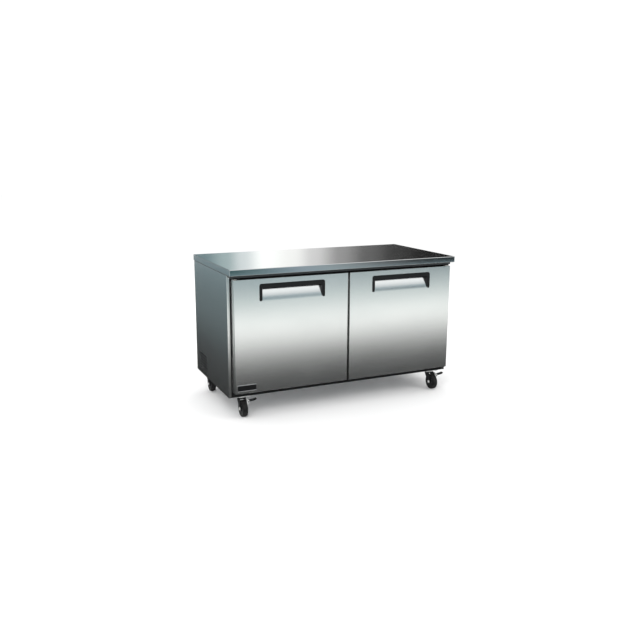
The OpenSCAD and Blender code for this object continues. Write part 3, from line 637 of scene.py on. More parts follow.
def turned(name, profile, centre, axis, steps=40):
    """Spins a profile of (radius, along) points a full turn round an axis through centre."""
    centre = Vector(centre)
    line = Vector([1.0 if i == axis else 0.0 for i in range(3)])
    reach = Vector((1, 0, 0)) if axis == Z else Vector((0, 0, 1))
    points = [centre + reach * radius + line * height for radius, height in profile]
    clear_selection()
    bpy.ops.mesh.primitive_plane_add(size=0.001, location=points[0])
    piece = bpy.context.object
    piece.name = name
    settle(piece)
    pick(piece, "VERT", every)
    bpy.ops.mesh.merge(type="CENTER")
    for here, there in zip(points, points[1:]):
        bpy.ops.mesh.extrude_region_move(TRANSFORM_OT_translate={"value": there - here})
    bpy.ops.mesh.select_all(action="SELECT")
    bpy.ops.mesh.spin(steps=steps, angle=2 * math.pi, center=centre, axis=line)
    done()
    tidy_mesh(piece)
    return piece


def arc(radius, centre, start, end, steps=5):
    """Points of an arc in (radius, along), with angles in degrees."""
    turns = [math.radians(start + (end - start) * i / steps) for i in range(steps + 1)]
    return [(centre[0] + radius * math.cos(t), centre[1] + radius * math.sin(t)) for t in turns]


def bent_tube(name, points, radius, bend, sides=10):
    """A round tube through points, with each corner rounded to the bend radius."""
    path = [Vector(points[0])]
    for before, corner, after in zip(points, points[1:], points[2:]):
        before, corner, after = Vector(before), Vector(corner), Vector(after)
        into, away = (before - corner).normalized(), (after - corner).normalized()
        reach = min(bend, (before - corner).length / 2.05, (after - corner).length / 2.05)
        a, b = corner + into * reach, corner + away * reach
        for i in range(7):
            t = i / 6
            path.append(a * (1 - t) ** 2 + corner * 2 * t * (1 - t) + b * t ** 2)
    path.append(Vector(points[-1]))
    curve = bpy.data.curves.new(name, "CURVE")
    curve.dimensions = "3D"
    curve.bevel_depth = radius
    curve.bevel_resolution = max(1, sides // 4)
    curve.use_fill_caps = True
    spline = curve.splines.new("POLY")
    spline.points.add(len(path) - 1)
    for point, place in zip(spline.points, path):
        point.co = (*place, 1.0)
    tube = bpy.data.objects.new(name, curve)
    bpy.context.scene.collection.objects.link(tube)
    take(tube)
    bpy.ops.object.convert(target="MESH")
    tube = bpy.context.object
    tidy_mesh(tube)
    return tube


def folded_pan(name, low, high, axis, sign, fold, sheet, hem=0.0):
    """Sheet pan with rounded folds, open on one side, with an optional hem along the opening."""
    pan = block(name, low, high)
    open_up(pan, facing(axis, sign))
    if hem:
        rim = Vector(high)[axis] if sign > 0 else Vector(low)[axis]
        size = Vector(high) - Vector(low)
        shrink = [1.0 if i == axis else (size[i] - 2 * hem) / size[i] for i in range(3)]
        pick(pan, "EDGE", lambda edge: all(abs(v.co[axis] - rim) < 1e-6 for v in edge.verts))
        bpy.ops.mesh.extrude_region_move(TRANSFORM_OT_translate={"value": (0, 0, 0)})
        bpy.ops.transform.resize(value=shrink)
        done()
        tidy_mesh(pan)
    bevel_all(pan, fold)
    thicken(pan, sheet)
    return soften(pan)


def square_ring(name, low, high, axis, width):
    """Mitred frame between two corners, open along an axis."""
    ring = block(name, low, high)
    ends = lambda face: abs(face.normal[axis]) > 0.9
    pick(ring, "FACE", ends)
    bpy.ops.mesh.inset(thickness=width, depth=0, use_individual=True)
    bpy.ops.mesh.delete(type="FACE")
    done()
    pick(ring, "EDGE", lambda edge: edge.is_boundary)
    bpy.ops.mesh.bridge_edge_loops()
    done()
    tidy_mesh(ring)
    return ring


def eased_block(name, low, high, radius, segments=2, angle=35):
    """A block with its edges rounded."""
    made = block(name, low, high)
    bevel_all(made, radius, segments, angle)
    return made


# ---- cabinet sheet metal ----

SHEET = 1.2 * MM
FOLD = 2.2 * MM
WORKTOP_HEM = 30 * MM
WORKTOP_FOLD = 3.0 * MM
RAIL_SHEET = 1.4 * MM
RAIL_FOLD = 1.6 * MM
BASE_RAIL_FACE = 30 * MM


def make_worktop():
    low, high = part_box("worktop")
    pan = folded_pan("worktop_pan", low, high, Z, -1, WORKTOP_FOLD, SHEET, hem=WORKTOP_HEM)
    rim = lambda face: abs(face.normal.y) > 0.7
    fit(paint(pan, STEEL_X, WORKTOP_EDGE, rim), "cabinet", "stainless", "worktop")


def make_rails():
    for node in ("header_rail", "base_rail"):
        low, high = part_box(node)
        if node == "base_rail":
            high.z = low.z + BASE_RAIL_FACE
        rail = folded_pan(f"{node}_channel", low, high, Y, 1, RAIL_FOLD, RAIL_SHEET)
        finish = RAIL_PAINT if node == "header_rail" else BLACK_PAINT
        fit(paint(rail, finish), "cabinet", "dark_steel", node)


FLANGE_RETURN = 15 * MM
REAR_FLANGE = 22 * MM
FACE_FLANGE = 17.5 * MM
LOUVRES = 7
LOUVRE_PITCH = 18.5 * MM
LOUVRE_GAP = 7 * MM
LOUVRE_RISE = 20 * MM
LOUVRE_ENDS = (245 * MM, 60 * MM)


def side_skin(name):
    """Left side panel: skin, face flange with its return, and rear flange."""
    low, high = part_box("left_side_panel")
    skin = block(name, (low.x, low.y, low.z), (low.x + FACE_FLANGE, high.y, high.z))
    open_up(skin, lambda face: face.normal.x > 0.9 or abs(face.normal.z) > 0.9)
    inner = low.x + FACE_FLANGE
    draw_out(skin, "EDGE", along(Z, lambda at: abs(at.x - inner) < 1e-5 and at.y < 0),
             (0, FLANGE_RETURN, 0))
    draw_out(skin, "EDGE", along(Z, lambda at: abs(at.x - inner) < 1e-5 and at.y > 0),
             (REAR_FLANGE - FACE_FLANGE, 0, 0))
    bevel_all(skin, FOLD, segments=4)
    thicken(skin, SHEET)
    return skin


def louvre_parts():
    """Slot cutters and the curved blade behind each slot."""
    low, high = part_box("left_side_panel")
    y0, y1 = high.y - LOUVRE_ENDS[0], high.y - LOUVRE_ENDS[1]
    cutters, blades = [], []
    for i in range(LOUVRES):
        z = low.z + LOUVRE_RISE + i * LOUVRE_PITCH
        slot = block("slot_cutter", (low.x - 2 * MM, y0, z), (low.x + 3 * MM, y1, z + LOUVRE_GAP))
        round_edges(slot, along(X), 3.2 * MM, 5)
        cutters.append(slot)
        blade = block("blade", (low.x + SHEET, y0 - 2 * MM, z - 3 * MM),
                      (low.x + SHEET + 1 * MM, y1 + 2 * MM, z + LOUVRE_GAP + 2 * MM))
        nudge(blade, lambda vert: vert.co.z < z, (6 * MM, 0, 0))
        bevel_all(blade, 0.4 * MM, segments=2)
        blades.append(blade)
    return cutters, blades


def make_side_panels():
    plain = side_skin("right_panel_skin")
    louvred = copy_of(plain, "left_panel_skin")
    cutters, blades = louvre_parts()
    cut(louvred, weld("slot_cutters", cutters))
    left = weld("left_panel", [louvred, *blades])
    right = copy_of(plain, "right_panel", mirrored=True)
    discard(plain)
    low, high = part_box("left_side_panel")
    front = high.y - LOUVRE_ENDS[0] - 3 * MM
    # The blade faces behind the slots take black paint: painted shade that makes the louvre slots read
    # dark.
    blade_painted_shade = lambda face: (low.x + SHEET - 1e-6 < face.center.x < low.x + 9 * MM
                             and front < face.center.y < high.y - 5 * MM
                             and face.center.z < low.z + 200 * MM)
    for piece, node in ((left, "left_side_panel"), (right, "right_side_panel")):
        soften(piece)
        fit(paint(piece, STEEL_Z, BLACK_PAINT, blade_painted_shade), "cabinet", "stainless", node)


PRESSING = 3 * MM
PRESS_BORDER = 42 * MM


def make_back_panel():
    """Back sheet with two shallow pressings that keep it from drumming."""
    low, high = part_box("back_panel")
    sheet = block("back_sheet", low, high)
    open_up(sheet, lambda face: face.normal.y < 0.9)
    pick(sheet, "EDGE", lambda edge: abs(edge.verts[0].co.z - edge.verts[1].co.z) < 1e-6)
    bpy.ops.mesh.subdivide_edgering(number_cuts=1)
    done()
    pick(sheet, "FACE", every)
    bpy.ops.mesh.inset(thickness=PRESS_BORDER, depth=0, use_individual=True)
    bpy.ops.mesh.inset(thickness=6 * MM, depth=PRESSING, use_individual=True)
    done()
    bevel_all(sheet, 3 * MM, segments=3, angle=12)
    thicken(sheet, SHEET)
    soften(sheet)
    fit(paint(sheet, GALVANISED), "cabinet", "galvanised", "back_panel")


def make_worktop_reveal_shade_seal():
    """Dark tape in the reveal between the panels and the worktop; its dark strip is painted shade for
    the reveal's shadow line.
    """
    seal = square_ring("worktop_reveal_shade_seal", mm(-761.9, -313.5, 863.6), mm(761.9, 374.4, 867.4), Z, 8 * MM)
    bevel_all(seal, 0.4 * MM, segments=2)
    fit(paint(soften(seal), VINYL), "cabinet", "grey_gasket")


# ---- screws ----

SCREW_R = 3.6 * MM
SCREW_RISE = 1.5 * MM


def pan_head(name, place, axis, sign):
    """A cross-recessed pan-head screw whose head rises from a surface along an axis."""
    at = Vector(place)
    dome = [(0, SCREW_RISE), (1.6 * MM, 0.96 * SCREW_RISE), (2.7 * MM, 0.75 * SCREW_RISE),
            (SCREW_R, 0.3 * SCREW_RISE), (SCREW_R, -0.3 * MM), (0, -0.3 * MM)]
    head = turned(name, [(r, sign * h) for r, h in dome], at, axis, steps=16)
    for across in [i for i in range(3) if i != axis]:
        reach = [0.35 * MM] * 3
        reach[across] = 2.0 * MM
        reach[axis] = 0.9 * MM
        middle = at.copy()
        middle[axis] += sign * (SCREW_RISE + 0.2 * MM)
        cut(head, block("cross_slot", middle - Vector(reach), middle + Vector(reach)))
    return head


def screw_row(name, places, axis, sign):
    """Copies of one screw at every place, as one piece."""
    first = pan_head(name, places[0], axis, sign)
    rest = [copy_of(first, name, move=Vector(place) - Vector(places[0])) for place in places[1:]]
    return weld_soft(name, [first, *rest], 40)


def make_rear_screws():
    low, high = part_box("back_panel")
    grille_low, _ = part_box("rear_grille")
    inset = 12 * MM
    columns = [low.x + inset + i * (high.x - low.x - 2 * inset) / 5 for i in range(6)]
    rows = [high.z - inset, low.z + inset, low.z - 13 * MM, grille_low.z + 9 * MM]
    places = [(x, high.y, z) for x in columns for z in rows]
    places += [(x, high.y, (low.z + high.z) / 2) for x in (columns[0], columns[-1])]
    fit(paint(screw_row("rear_screws", places, Y, 1), ZINC), "cabinet", "zinc")


# ---- doors ----

RECESS_DEPTH = 34 * MM
TRIM_LEG = 17 * MM
TRIM_BAR = 28 * MM
TRIM_CORNER = 14 * MM
TRIM_INNER_CORNER = 6 * MM
BUSH_R = 9 * MM
DOOR_FOLD = 2.4 * MM


def recess_cutter():
    """Wedge of the finger recess: flush at its lower edge, deepest at the top."""
    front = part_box("left_door_skin")[0].y
    low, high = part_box("left_handle_trim")
    half = (high.x - low.x) / 2 - TRIM_LEG + 1 * MM
    middle = (high.x + low.x) / 2
    top = high.z - 16 * MM
    wedge = block("recess_wedge", (middle - half, front - 4 * MM, low.z),
                  (middle + half, front + RECESS_DEPTH, top))
    nudge(wedge, lambda vert: vert.co.y > front and vert.co.z < low.z + 1 * MM, (0, -RECESS_DEPTH, 0))
    return wedge


def left_skin():
    low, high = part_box("left_door_skin")
    skin = block("left_skin", low, high)
    cut(skin, recess_cutter())
    bush_low, bush_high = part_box("left_door_bushes")
    hinge = (bush_low + bush_high) / 2
    cut(skin, rod("bush_bore", BUSH_R, (*hinge.xy, low.z - 0.01), (*hinge.xy, high.z + 0.01)))
    open_up(skin, lambda face: face.normal.y > 0.9 and centre_of(face).y > high.y - 1 * MM)
    open_up(skin, lambda face: (centre_of(face) - hinge).xy.length < BUSH_R + 0.1 * MM
            and abs(face.normal.z) < 0.1)
    tidy_mesh(skin)
    bevel_all(skin, DOOR_FOLD, segments=4, angle=22)
    thicken(skin, SHEET)
    return soften(skin, 30)


def left_trim():
    """Handle trim: a U of round-ended legs, cheeks along the recess and the grip behind the bar."""
    low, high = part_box("left_handle_trim")
    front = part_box("left_door_skin")[0].y
    arch = block("left_trim", low, (high.x, front, high.z))
    at_top = lambda at: at.z > high.z - 1 * MM
    round_edges(arch, along(Y, at_top), TRIM_CORNER, 8)
    opening = block("opening", (low.x + TRIM_LEG, low.y - 0.01, low.z - 0.01),
                    (high.x - TRIM_LEG, front + 0.01, high.z - TRIM_BAR))
    round_edges(opening, along(Y, lambda at: at.z > low.z), TRIM_INNER_CORNER, 6)
    cut(arch, opening)
    tidy_mesh(arch)
    round_edges(arch, along(Y, lambda at: at.z < low.z + 1 * MM), 8.3 * MM, 8)
    bevel_all(arch, 1.1 * MM, segments=3, angle=50)
    half = (high.x - low.x) / 2 - TRIM_LEG + 0.6 * MM
    middle = (high.x + low.x) / 2
    top = high.z - 17 * MM
    cheeks = []
    for side in (-1, 1):
        x = middle + side * (half - 1 * MM)
        cheek = block("cheek", (x - 1 * MM, front - 1 * MM, low.z + 9 * MM),
                      (x + 1 * MM, front + RECESS_DEPTH - 2 * MM, top))
        nudge(cheek, lambda vert: vert.co.y > front + 1 * MM and vert.co.z < low.z + 10 * MM,
              (0, -(RECESS_DEPTH - 4 * MM), 0))
        bevel_all(cheek, 0.5 * MM, segments=2)
        cheeks.append(cheek)
    grip = block("grip", (middle - half + 1 * MM, front - 1 * MM, top - 3 * MM),
                 (middle + half - 1 * MM, front + 9 * MM, top))
    round_edges(grip, along(X), 1.3 * MM, 4)
    return weld_soft("left_trim", [arch, *cheeks, grip])


LINER_DYKE = 42 * MM
DYKE_CORNER = 46 * MM


def left_door_panel():
    """Inner door panel: flat rim under the gasket, and a raised dyke with a shallow field."""
    low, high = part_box("left_door_liner")
    rim_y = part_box("left_door_gasket")[0].y
    rim = eased_block("rim", low, (high.x, rim_y, high.z), 0.8 * MM, angle=50)
    dyke = block("dyke", (low.x + LINER_DYKE, rim_y - 2 * MM, low.z + LINER_DYKE),
                 (high.x - LINER_DYKE, high.y, high.z - LINER_DYKE))
    pick(dyke, "FACE", facing(Y, 1))
    bpy.ops.transform.resize(value=(0.988, 1.0, 0.988))
    done()
    round_edges(dyke, lambda edge: abs(edge.verts[0].co.y - edge.verts[1].co.y) > 5 * MM,
                DYKE_CORNER, 8)
    pick(dyke, "FACE", facing(Y, 1))
    bpy.ops.mesh.inset(thickness=26 * MM, depth=0)
    bpy.ops.mesh.inset(thickness=7 * MM, depth=-6 * MM)
    done()
    round_edges(dyke, lambda edge: edge.is_manifold and edge.calc_face_angle() > 0.4
                and min(v.co.y for v in edge.verts) > rim_y + 1 * MM, 2.2 * MM, 4)
    return weld_soft("left_inner_panel", [rim, dyke], 30)


GASKET_WIDTH = 13 * MM


def left_gasket():
    """Bellows gasket: a mitred frame with a groove round its inside and its outside."""
    low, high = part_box("left_door_gasket")
    seal = square_ring("left_gasket", low, high, Y, GASKET_WIDTH)
    pick(seal, "FACE", lambda face: abs(face.normal.y) < 0.1)
    bpy.ops.mesh.inset(thickness=1.3 * MM, depth=-2.2 * MM)
    done()
    bevel_all(seal, 0.5 * MM, segments=2)
    return soften(seal, 40)


def make_doors():
    parts = (
        (left_skin, "skin", STEEL_Z, "stainless", "door_skin"),
        (left_trim, "handle", BLACK_MOULDING, "black_plastic", "handle_trim"),
        (left_door_panel, "inner_panel", LINER_WHITE, "liner", "door_liner"),
        (left_gasket, "seal", VINYL, "grey_gasket", "door_gasket"),
    )
    for build, label, finish, slot, node in parts:
        left = build()
        left.name = f"left_door_{label}_piece"
        right = copy_of(left, f"right_door_{label}_piece", mirrored=True)
        for piece, side in ((left, "left"), (right, "right")):
            soften(piece, 30)
            fit(paint(piece, finish), f"{side}_door", slot, f"{side}_{node}")


def make_badge():
    """Blank name plate with a bright raised border."""
    low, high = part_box("badge")
    plate = block("blank_badge", low, high)
    round_edges(plate, along(Y), 3 * MM, 5)
    pick(plate, "FACE", facing(Y, -1))
    bpy.ops.mesh.inset(thickness=2.0 * MM, depth=0)
    bpy.ops.mesh.inset(thickness=0.5 * MM, depth=-0.6 * MM)
    done()
    border = low.y + 0.3 * MM
    bevel_all(plate, 0.25 * MM, segments=2, angle=40)
    soften(plate, 30)
    field = lambda face: face.normal.y < -0.9 and face.center.y > border
    fit(paint(plate, CHROME, BLACK_MOULDING, field), "left_door", "badge", "badge")


# ---- hinges ----

HINGE_AXIS = Vector((-723, -343, 0)) * MM
HINGE_PIN_R = 5 * MM


def spun(name, profile, centre, axis, steps=32):
    """A turned part whose profile is given in millimetres."""
    return turned(name, [(r * MM, along_it * MM) for r, along_it in profile], centre, axis, steps)


def hinge_pin(z0, z1):
    return spun("hinge_pin", [(0, z0), (4.2, z0), (5, z0 + 0.8), (5, z1 - 0.8), (4.2, z1), (0, z1)],
                HINGE_AXIS, Z, 24)


def left_hinges():
    """Plates above and below the door with their pins; the lower one is folded down over the rail."""
    upper = block("upper_plate", mm(-741, -357, 847), mm(-695, -315.5, 851))
    lower = block("lower_plate", mm(-741, -357, 155), mm(-695, -315, 159))
    pick(lower, "FACE", every)
    bpy.ops.mesh.bisect(plane_co=mm(0, -318, 0), plane_no=(0, 1, 0))
    done()
    draw_out(lower, "FACE", lambda face: face.normal.z < -0.9 and centre_of(face).y > -318 * MM,
             mm(0, 0, -25))
    round_edges(lower, along(X, lambda at: at.y > -316 * MM and at.z > 158 * MM), 2.8 * MM, 5)
    for plate in (upper, lower):
        round_edges(plate, along(Z, lambda at: at.y < -350 * MM), 11 * MM, 8)
        bevel_all(plate, 0.5 * MM, segments=2, angle=50)
    screws = [pan_head("rail_screw", mm(x, -318, 142), Y, -1) for x in (-731, -705)]
    screws += [pan_head("header_screw", mm(-704, y, 847), Z, -1) for y in (-324, -338)]
    return weld("left_hinges", [upper, lower, hinge_pin(825, 850), hinge_pin(156, 181), *screws])


def make_hinges():
    left = left_hinges()
    right = copy_of(left, "right_hinges", mirrored=True)
    both = weld_soft("hinge_plates_piece", [left, right])
    pins = lambda face: math.hypot(abs(face.center.x) - abs(HINGE_AXIS.x),
                                   face.center.y - HINGE_AXIS.y) < HINGE_PIN_R + 0.1 * MM
    fit(paint(both, BLACK_PAINT, ZINC, pins), "cabinet", "zinc", "hinge_brackets")


# ---- casters, made at the front left corner ----

SWIVEL = mm(-672, -273, 0)
TRAIL = 32
CORNERS = {"front_left": mm(0, 0, 0), "front_right": mm(1344, 0, 0),
           "rear_left": mm(-30, 553, 0), "rear_right": mm(1374, 553, 0)}
AXLE = SWIVEL + mm(0, -TRAIL, 50)


def near(x, y, z):
    """A place measured from the swivel axis at floor level."""
    return SWIVEL + mm(x, y, z)


def mounting_plate():
    """Bolted plate with the domed upper race and the riveted kingpin."""
    plate = block("mounting_plate", near(-50, -40, 124), near(50, 40, 127))
    round_edges(plate, along(Z), 9 * MM, 6)
    bevel_all(plate, 0.6 * MM, segments=2, angle=50)
    race = spun("race", [(0, 125), (26.6, 125), (28, 123.6), (28, 118), (26.8, 115), (24, 112.8),
                         (21, 112.2), (0, 112.2)], SWIVEL, Z, 48)
    pin = spun("kingpin", [(0, 113), (6, 113), (6, 105), (8.6, 105), (10, 104), (10, 103.2),
                           (8, 102), (0, 102)], SWIVEL, Z, 28)
    return weld("mounting_plate", [plate, race, pin])


def plate_bolts():
    """Flanged hex bolts under the mounting plate."""
    bolts = []
    for x in (-38, 38):
        for y in (-28, 28):
            at = near(x, y, 0)
            head = rod("bolt", 6.2 * MM, at + mm(0, 0, 119), at + mm(0, 0, 123.4), sides=6)
            pick(head, "FACE", facing(Z, -1))
            bpy.ops.mesh.inset(thickness=1.6 * MM, depth=0)
            bpy.ops.transform.translate(value=mm(0, 0, 0.5))
            done()
            bevel_all(head, 0.4 * MM, segments=2, angle=25)
            flange = spun("flange", [(0, 122.8), (6.2, 122.8), (7, 123.4), (7, 124), (4, 124.4),
                                     (4, 133.2), (3.2, 134), (0, 134)], at, Z, 24)
            bolts += [head, flange]
    return weld("plate_bolts", bolts)


def shift_row(piece, height, front, back):
    """Moves the front and the back corners that lie at one height."""
    row = [v.co.y for v in piece.data.vertices if abs(v.co.z - height) < 1e-5]
    middle = (min(row) + max(row)) / 2
    for sign, shift in ((-1, front), (1, back)):
        nudge(piece, lambda v: abs(v.co.z - height) < 1e-5 and (v.co.y - middle) * sign > 0,
              mm(0, shift, 0))


def swivel_fork(braked=False):
    """Strap folded down into two legs that taper to the axle, under the lower race."""
    strap = block("strap", near(-20.5, -26, 97.5), near(20.5, 22, 111.4))
    open_up(strap, lambda face: face.normal.z < -0.9 or abs(face.normal.y) > 0.9)
    height = 97.5 * MM
    shift_row(strap, height, -6.4, 0)
    for drop, front, back in ((29.5, -13.6, -24), (32.5, 0, -15.5)):
        draw_out(strap, "EDGE", lambda edge: all(abs(v.co.z - height) < 1e-5 for v in edge.verts),
                 mm(0, 0, -drop))
        height -= drop * MM
        shift_row(strap, height, front, back)
    pick(strap, "VERT", lambda v: abs(v.co.z - height) < 1e-5)
    bpy.ops.mesh.bevel(offset=12.5 * MM, segments=8, affect="VERTICES")
    done()
    round_edges(strap, along(Y, lambda at: at.z > 111 * MM), 4.5 * MM, 5)
    thicken(strap, 3 * MM)
    if braked:
        cut(strap, block("window", near(15, -TRAIL - 7.5, 69), near(22, -TRAIL + 7.5, 92)))
    bevel_all(strap, 0.7 * MM, segments=2, angle=50)
    race = spun("lower_race", [(6.3, 111.4), (26, 111.4), (28, 110), (28, 107.4), (26, 105.8),
                               (6.3, 105.6), (6.3, 111.4)], SWIVEL, Z, 48)
    return weld_soft("swivel_fork", [strap, race])


def brake_bracket():
    """Bracket on the outer leg: a windowed plate and two ears for the lever's pin."""
    plate = block("bracket_plate", near(20, -TRAIL - 16, 66), near(22.5, -TRAIL + 16, 109.5))
    round_edges(plate, along(X), 4 * MM, 5)
    cut(plate, block("window", near(17, -TRAIL - 7.5, 69), near(26, -TRAIL + 7.5, 92)))
    parts = [plate]
    for y in (-16, 14):
        ear = block("ear", near(21.5, -TRAIL + y, 86), near(37, -TRAIL + y + 2, 98))
        for low_side, shift in ((True, -12), (False, 10)):
            nudge(ear, lambda v: v.co.x < SWIVEL.x + 22 * MM and (v.co.z < 90 * MM) == low_side,
                  mm(0, 0, shift))
        round_edges(ear, along(Y, lambda at: at.x > SWIVEL.x + 30 * MM), 5.4 * MM, 6)
        parts.append(ear)
    for part in parts:
        bevel_all(part, 0.35 * MM, segments=2, angle=50)
    return weld_soft("brake_bracket", parts)


def brake_lever():
    """Foot lever: a ribbed plate that rises outwards, with the arm that meets the wheel."""
    y0, y1 = -TRAIL - 13, -TRAIL + 13
    foot = block("foot_plate", near(31, y0, 89), near(70, y1, 95))
    nudge(foot, lambda v: v.co.x > SWIVEL.x + 60 * MM, mm(0, 0, 5))
    draw_out(foot, "FACE", facing(X, 1), mm(15.5, 0, 4.5))
    nudge(foot, lambda v: v.co.x > SWIVEL.x + 80 * MM and v.co.z < 100 * MM, mm(0, 0, 3))
    round_edges(foot, lambda edge: all(v.co.x > SWIVEL.x + 80 * MM for v in edge.verts)
                and abs(edge.verts[0].co.y - edge.verts[1].co.y) < 1e-5, 7 * MM, 6)
    bevel_all(foot, 1.0 * MM, segments=3, angle=40)
    ribs = []
    for i in range(5):
        x = 44 + 5.6 * i
        top = 95 + (x - 31) * 5 / 39
        rib = eased_block("rib", near(x - 1, y0 + 3, top - 1.5),
                          near(x + 1, y1 - 3, top + 0.8), 0.4 * MM)
        ribs.append(rib)
    barrel = spun("barrel", [(0, -13), (4.4, -13), (5, -12.4), (5, 12.4), (4.4, 13), (0, 13)],
                  near(31, -TRAIL, 92), Y, 24)
    arm = block("arm", near(20.4, -TRAIL - 6, 74.5), near(31, -TRAIL + 6, 82))
    draw_out(arm, "FACE", facing(Z, 1), mm(5, 0, 10))
    bevel_all(arm, 0.8 * MM, segments=2)
    pin = spun("lever_pin", [(0, -16.8), (3.4, -16.8), (3.8, -16.4), (3.8, -16.1), (2.5, -16.1),
                             (2.5, 16.1), (3.8, 16.1), (3.8, 16.4), (3.4, 16.8), (0, 16.8)],
               near(31, -TRAIL, 92), Y, 20)
    return weld_soft("brake_lever", [foot, *ribs, barrel, arm, pin])


def rolling_wheel():
    """Moulded core with a raised hub, and a crowned tread."""
    half = [(6.1, -16), (14.6, -16), (15.8, -15.2), (16.6, -13.6), (36.4, -13.6), (37.6, -15.4),
            (38.6, -16), (40.2, -16), (40.8, -15.1), (41.4, -15.1), (42, -16),
            *arc(5, (45, -11), -90, 0, 6)]
    profile = half + [(r, -at) for r, at in reversed(half)] + [half[0]]
    wheel = spun("rolling_wheel", profile, AXLE, X, 64)
    ribs = block("web_ribs", AXLE + mm(-15.2, -1.1, 15), AXLE + mm(15.2, 1.1, 37.5))
    ring_of(ribs, 8, AXLE, X)
    return weld_soft("rolling_wheel", [wheel, ribs])


def ring_of(piece, count, centre, axis):
    """Repeats a piece evenly round an axis through a centre."""
    line = [1.0 if i == axis else 0.0 for i in range(3)]
    pick(piece, "VERT", every)
    bpy.ops.mesh.spin(steps=count - 1, dupli=True, angle=2 * math.pi * (count - 1) / count,
                      center=centre, axis=line)
    done()


def hexagon(name, radius, start, end):
    made = rod(name, radius, start, end, sides=6)
    bevel_all(made, 0.7 * MM, segments=2, angle=25)
    return made


def wheel_axle():
    """Through bolt with its head, its nut and the end of its thread."""
    head = hexagon("axle_head", 9.8 * MM, AXLE + mm(-25.4, 0, 0), AXLE + mm(-20.5, 0, 0))
    nut = hexagon("axle_nut", 9.8 * MM, AXLE + mm(20.5, 0, 0), AXLE + mm(26.4, 0, 0))
    thread = []
    for i in range(4):
        at = 26.4 + 0.5 * i
        thread += [(4.6, at), (5, at + 0.25)]
    shank = spun("shank", [(0, -24), (6, -24), (6, 25), (4.6, 25), *thread, (4.2, 28.4), (0, 28.4)],
                 AXLE, X, 28)
    return weld_soft("wheel_axle", [head, nut, shank])


def braked_fork():
    return swivel_fork(braked=True)


FRONT = ("front_left", "front_right")
REAR = ("rear_left", "rear_right")
CASTER_PARTS = (
    ("braked_fork", braked_fork, BLACK_PAINT, FRONT, "swivel", "black_steel", "fork"),
    ("swivel_fork", swivel_fork, BLACK_PAINT, REAR, "swivel", "black_steel", "fork"),
    ("wheel_axle", wheel_axle, ZINC, FRONT + REAR, "swivel", "zinc", "axle"),
    ("rolling_wheel", rolling_wheel, BLACK_MOULDING, FRONT + REAR, "roller", "wheel_rubber", "wheel"),
    ("brake_bracket", brake_bracket, ZINC, FRONT, "swivel", "zinc", None),
    ("brake_lever", brake_lever, BLACK_MOULDING, FRONT, "brake", "black_plastic", "pedal"),
)


def make_casters():
    for label, build, finish, corners, body, slot, node in CASTER_PARTS:
        master = build()
        tread = lambda face: (face.center - AXLE).yz.length > 41.2 * MM
        paint(master, finish, TREAD if label == "rolling_wheel" else None, tread)
        for corner in corners:
            piece = copy_of(master, f"{corner}_{label}", move=CORNERS[corner])
            fit(piece, f"{corner}_{body}", slot, *([f"{corner}_{node}"] if node else []))
        discard(master)
    for build, name, node in ((mounting_plate, "caster_plate_set", "caster_plates"),
                              (plate_bolts, "caster_bolt_set", "caster_bolts")):
        master = build()
        others = [copy_of(master, name, move=move) for move in list(CORNERS.values())[1:]]
        fit(paint(weld_soft(name, [master, *others]), ZINC), "cabinet", "zinc", node)


# ---- shelves ----

RIM_R = 2.5 * MM
LONG_WIRE_R = 1.6 * MM
WIRE_PITCH = 26.5 * MM


def row_of(piece, count, step):
    """Repeats a piece along a line."""
    apply_modifier(piece, "ARRAY", count=count, use_relative_offset=False, use_constant_offset=True,
                   constant_offset_displace=step)
    return piece


def make_shelves():
    """Coated wire grid: a round rim with bent corners, two cross wires and the long wires on top."""
    low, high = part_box("left_shelf")
    x0, x1, y0, y1 = low.x + RIM_R, high.x - RIM_R, low.y + RIM_R, high.y - RIM_R
    z = (low.z + high.z) / 2
    middle = (x0 + x1) / 2
    rim = bent_tube("rim", [(middle, y0, z), (x1, y0, z), (x1, y1, z), (x0, y1, z), (x0, y0, z),
                            (middle + 0.001, y0, z)], RIM_R, 14 * MM, 16)
    top = high.z - LONG_WIRE_R
    wire = rod("long_wire", LONG_WIRE_R, (x0 + WIRE_PITCH, y0 - 1 * MM, top),
               (x0 + WIRE_PITCH, y1 + 1 * MM, top), 12)
    bevel_all(wire, 0.5 * MM, segments=2, angle=60)
    row_of(wire, 25, (WIRE_PITCH, 0, 0))
    under = low.z + 2 * MM
    cross = rod("cross_wire", 2 * MM, (x0 - 1 * MM, y0 + 190 * MM, under),
                (x1 + 1 * MM, y0 + 190 * MM, under), 14)
    bevel_all(cross, 0.5 * MM, segments=2, angle=60)
    row_of(cross, 2, (0, 188 * MM, 0))
    left = weld_soft("left_wire_shelf", [rim, wire, cross], 40)
    right = soften(copy_of(left, "right_wire_shelf", mirrored=True), 40)
    for piece, node in ((left, "left_shelf"), (right, "right_shelf")):
        fit(paint(piece, SHELF_WHITE), "cabinet", "shelf_coat", node)


# ---- cooling unit inside ----

OUTLET = mm(0, 200, 700)
FAN_AT = mm(0, 214, 700)
OUTLET_R = 78


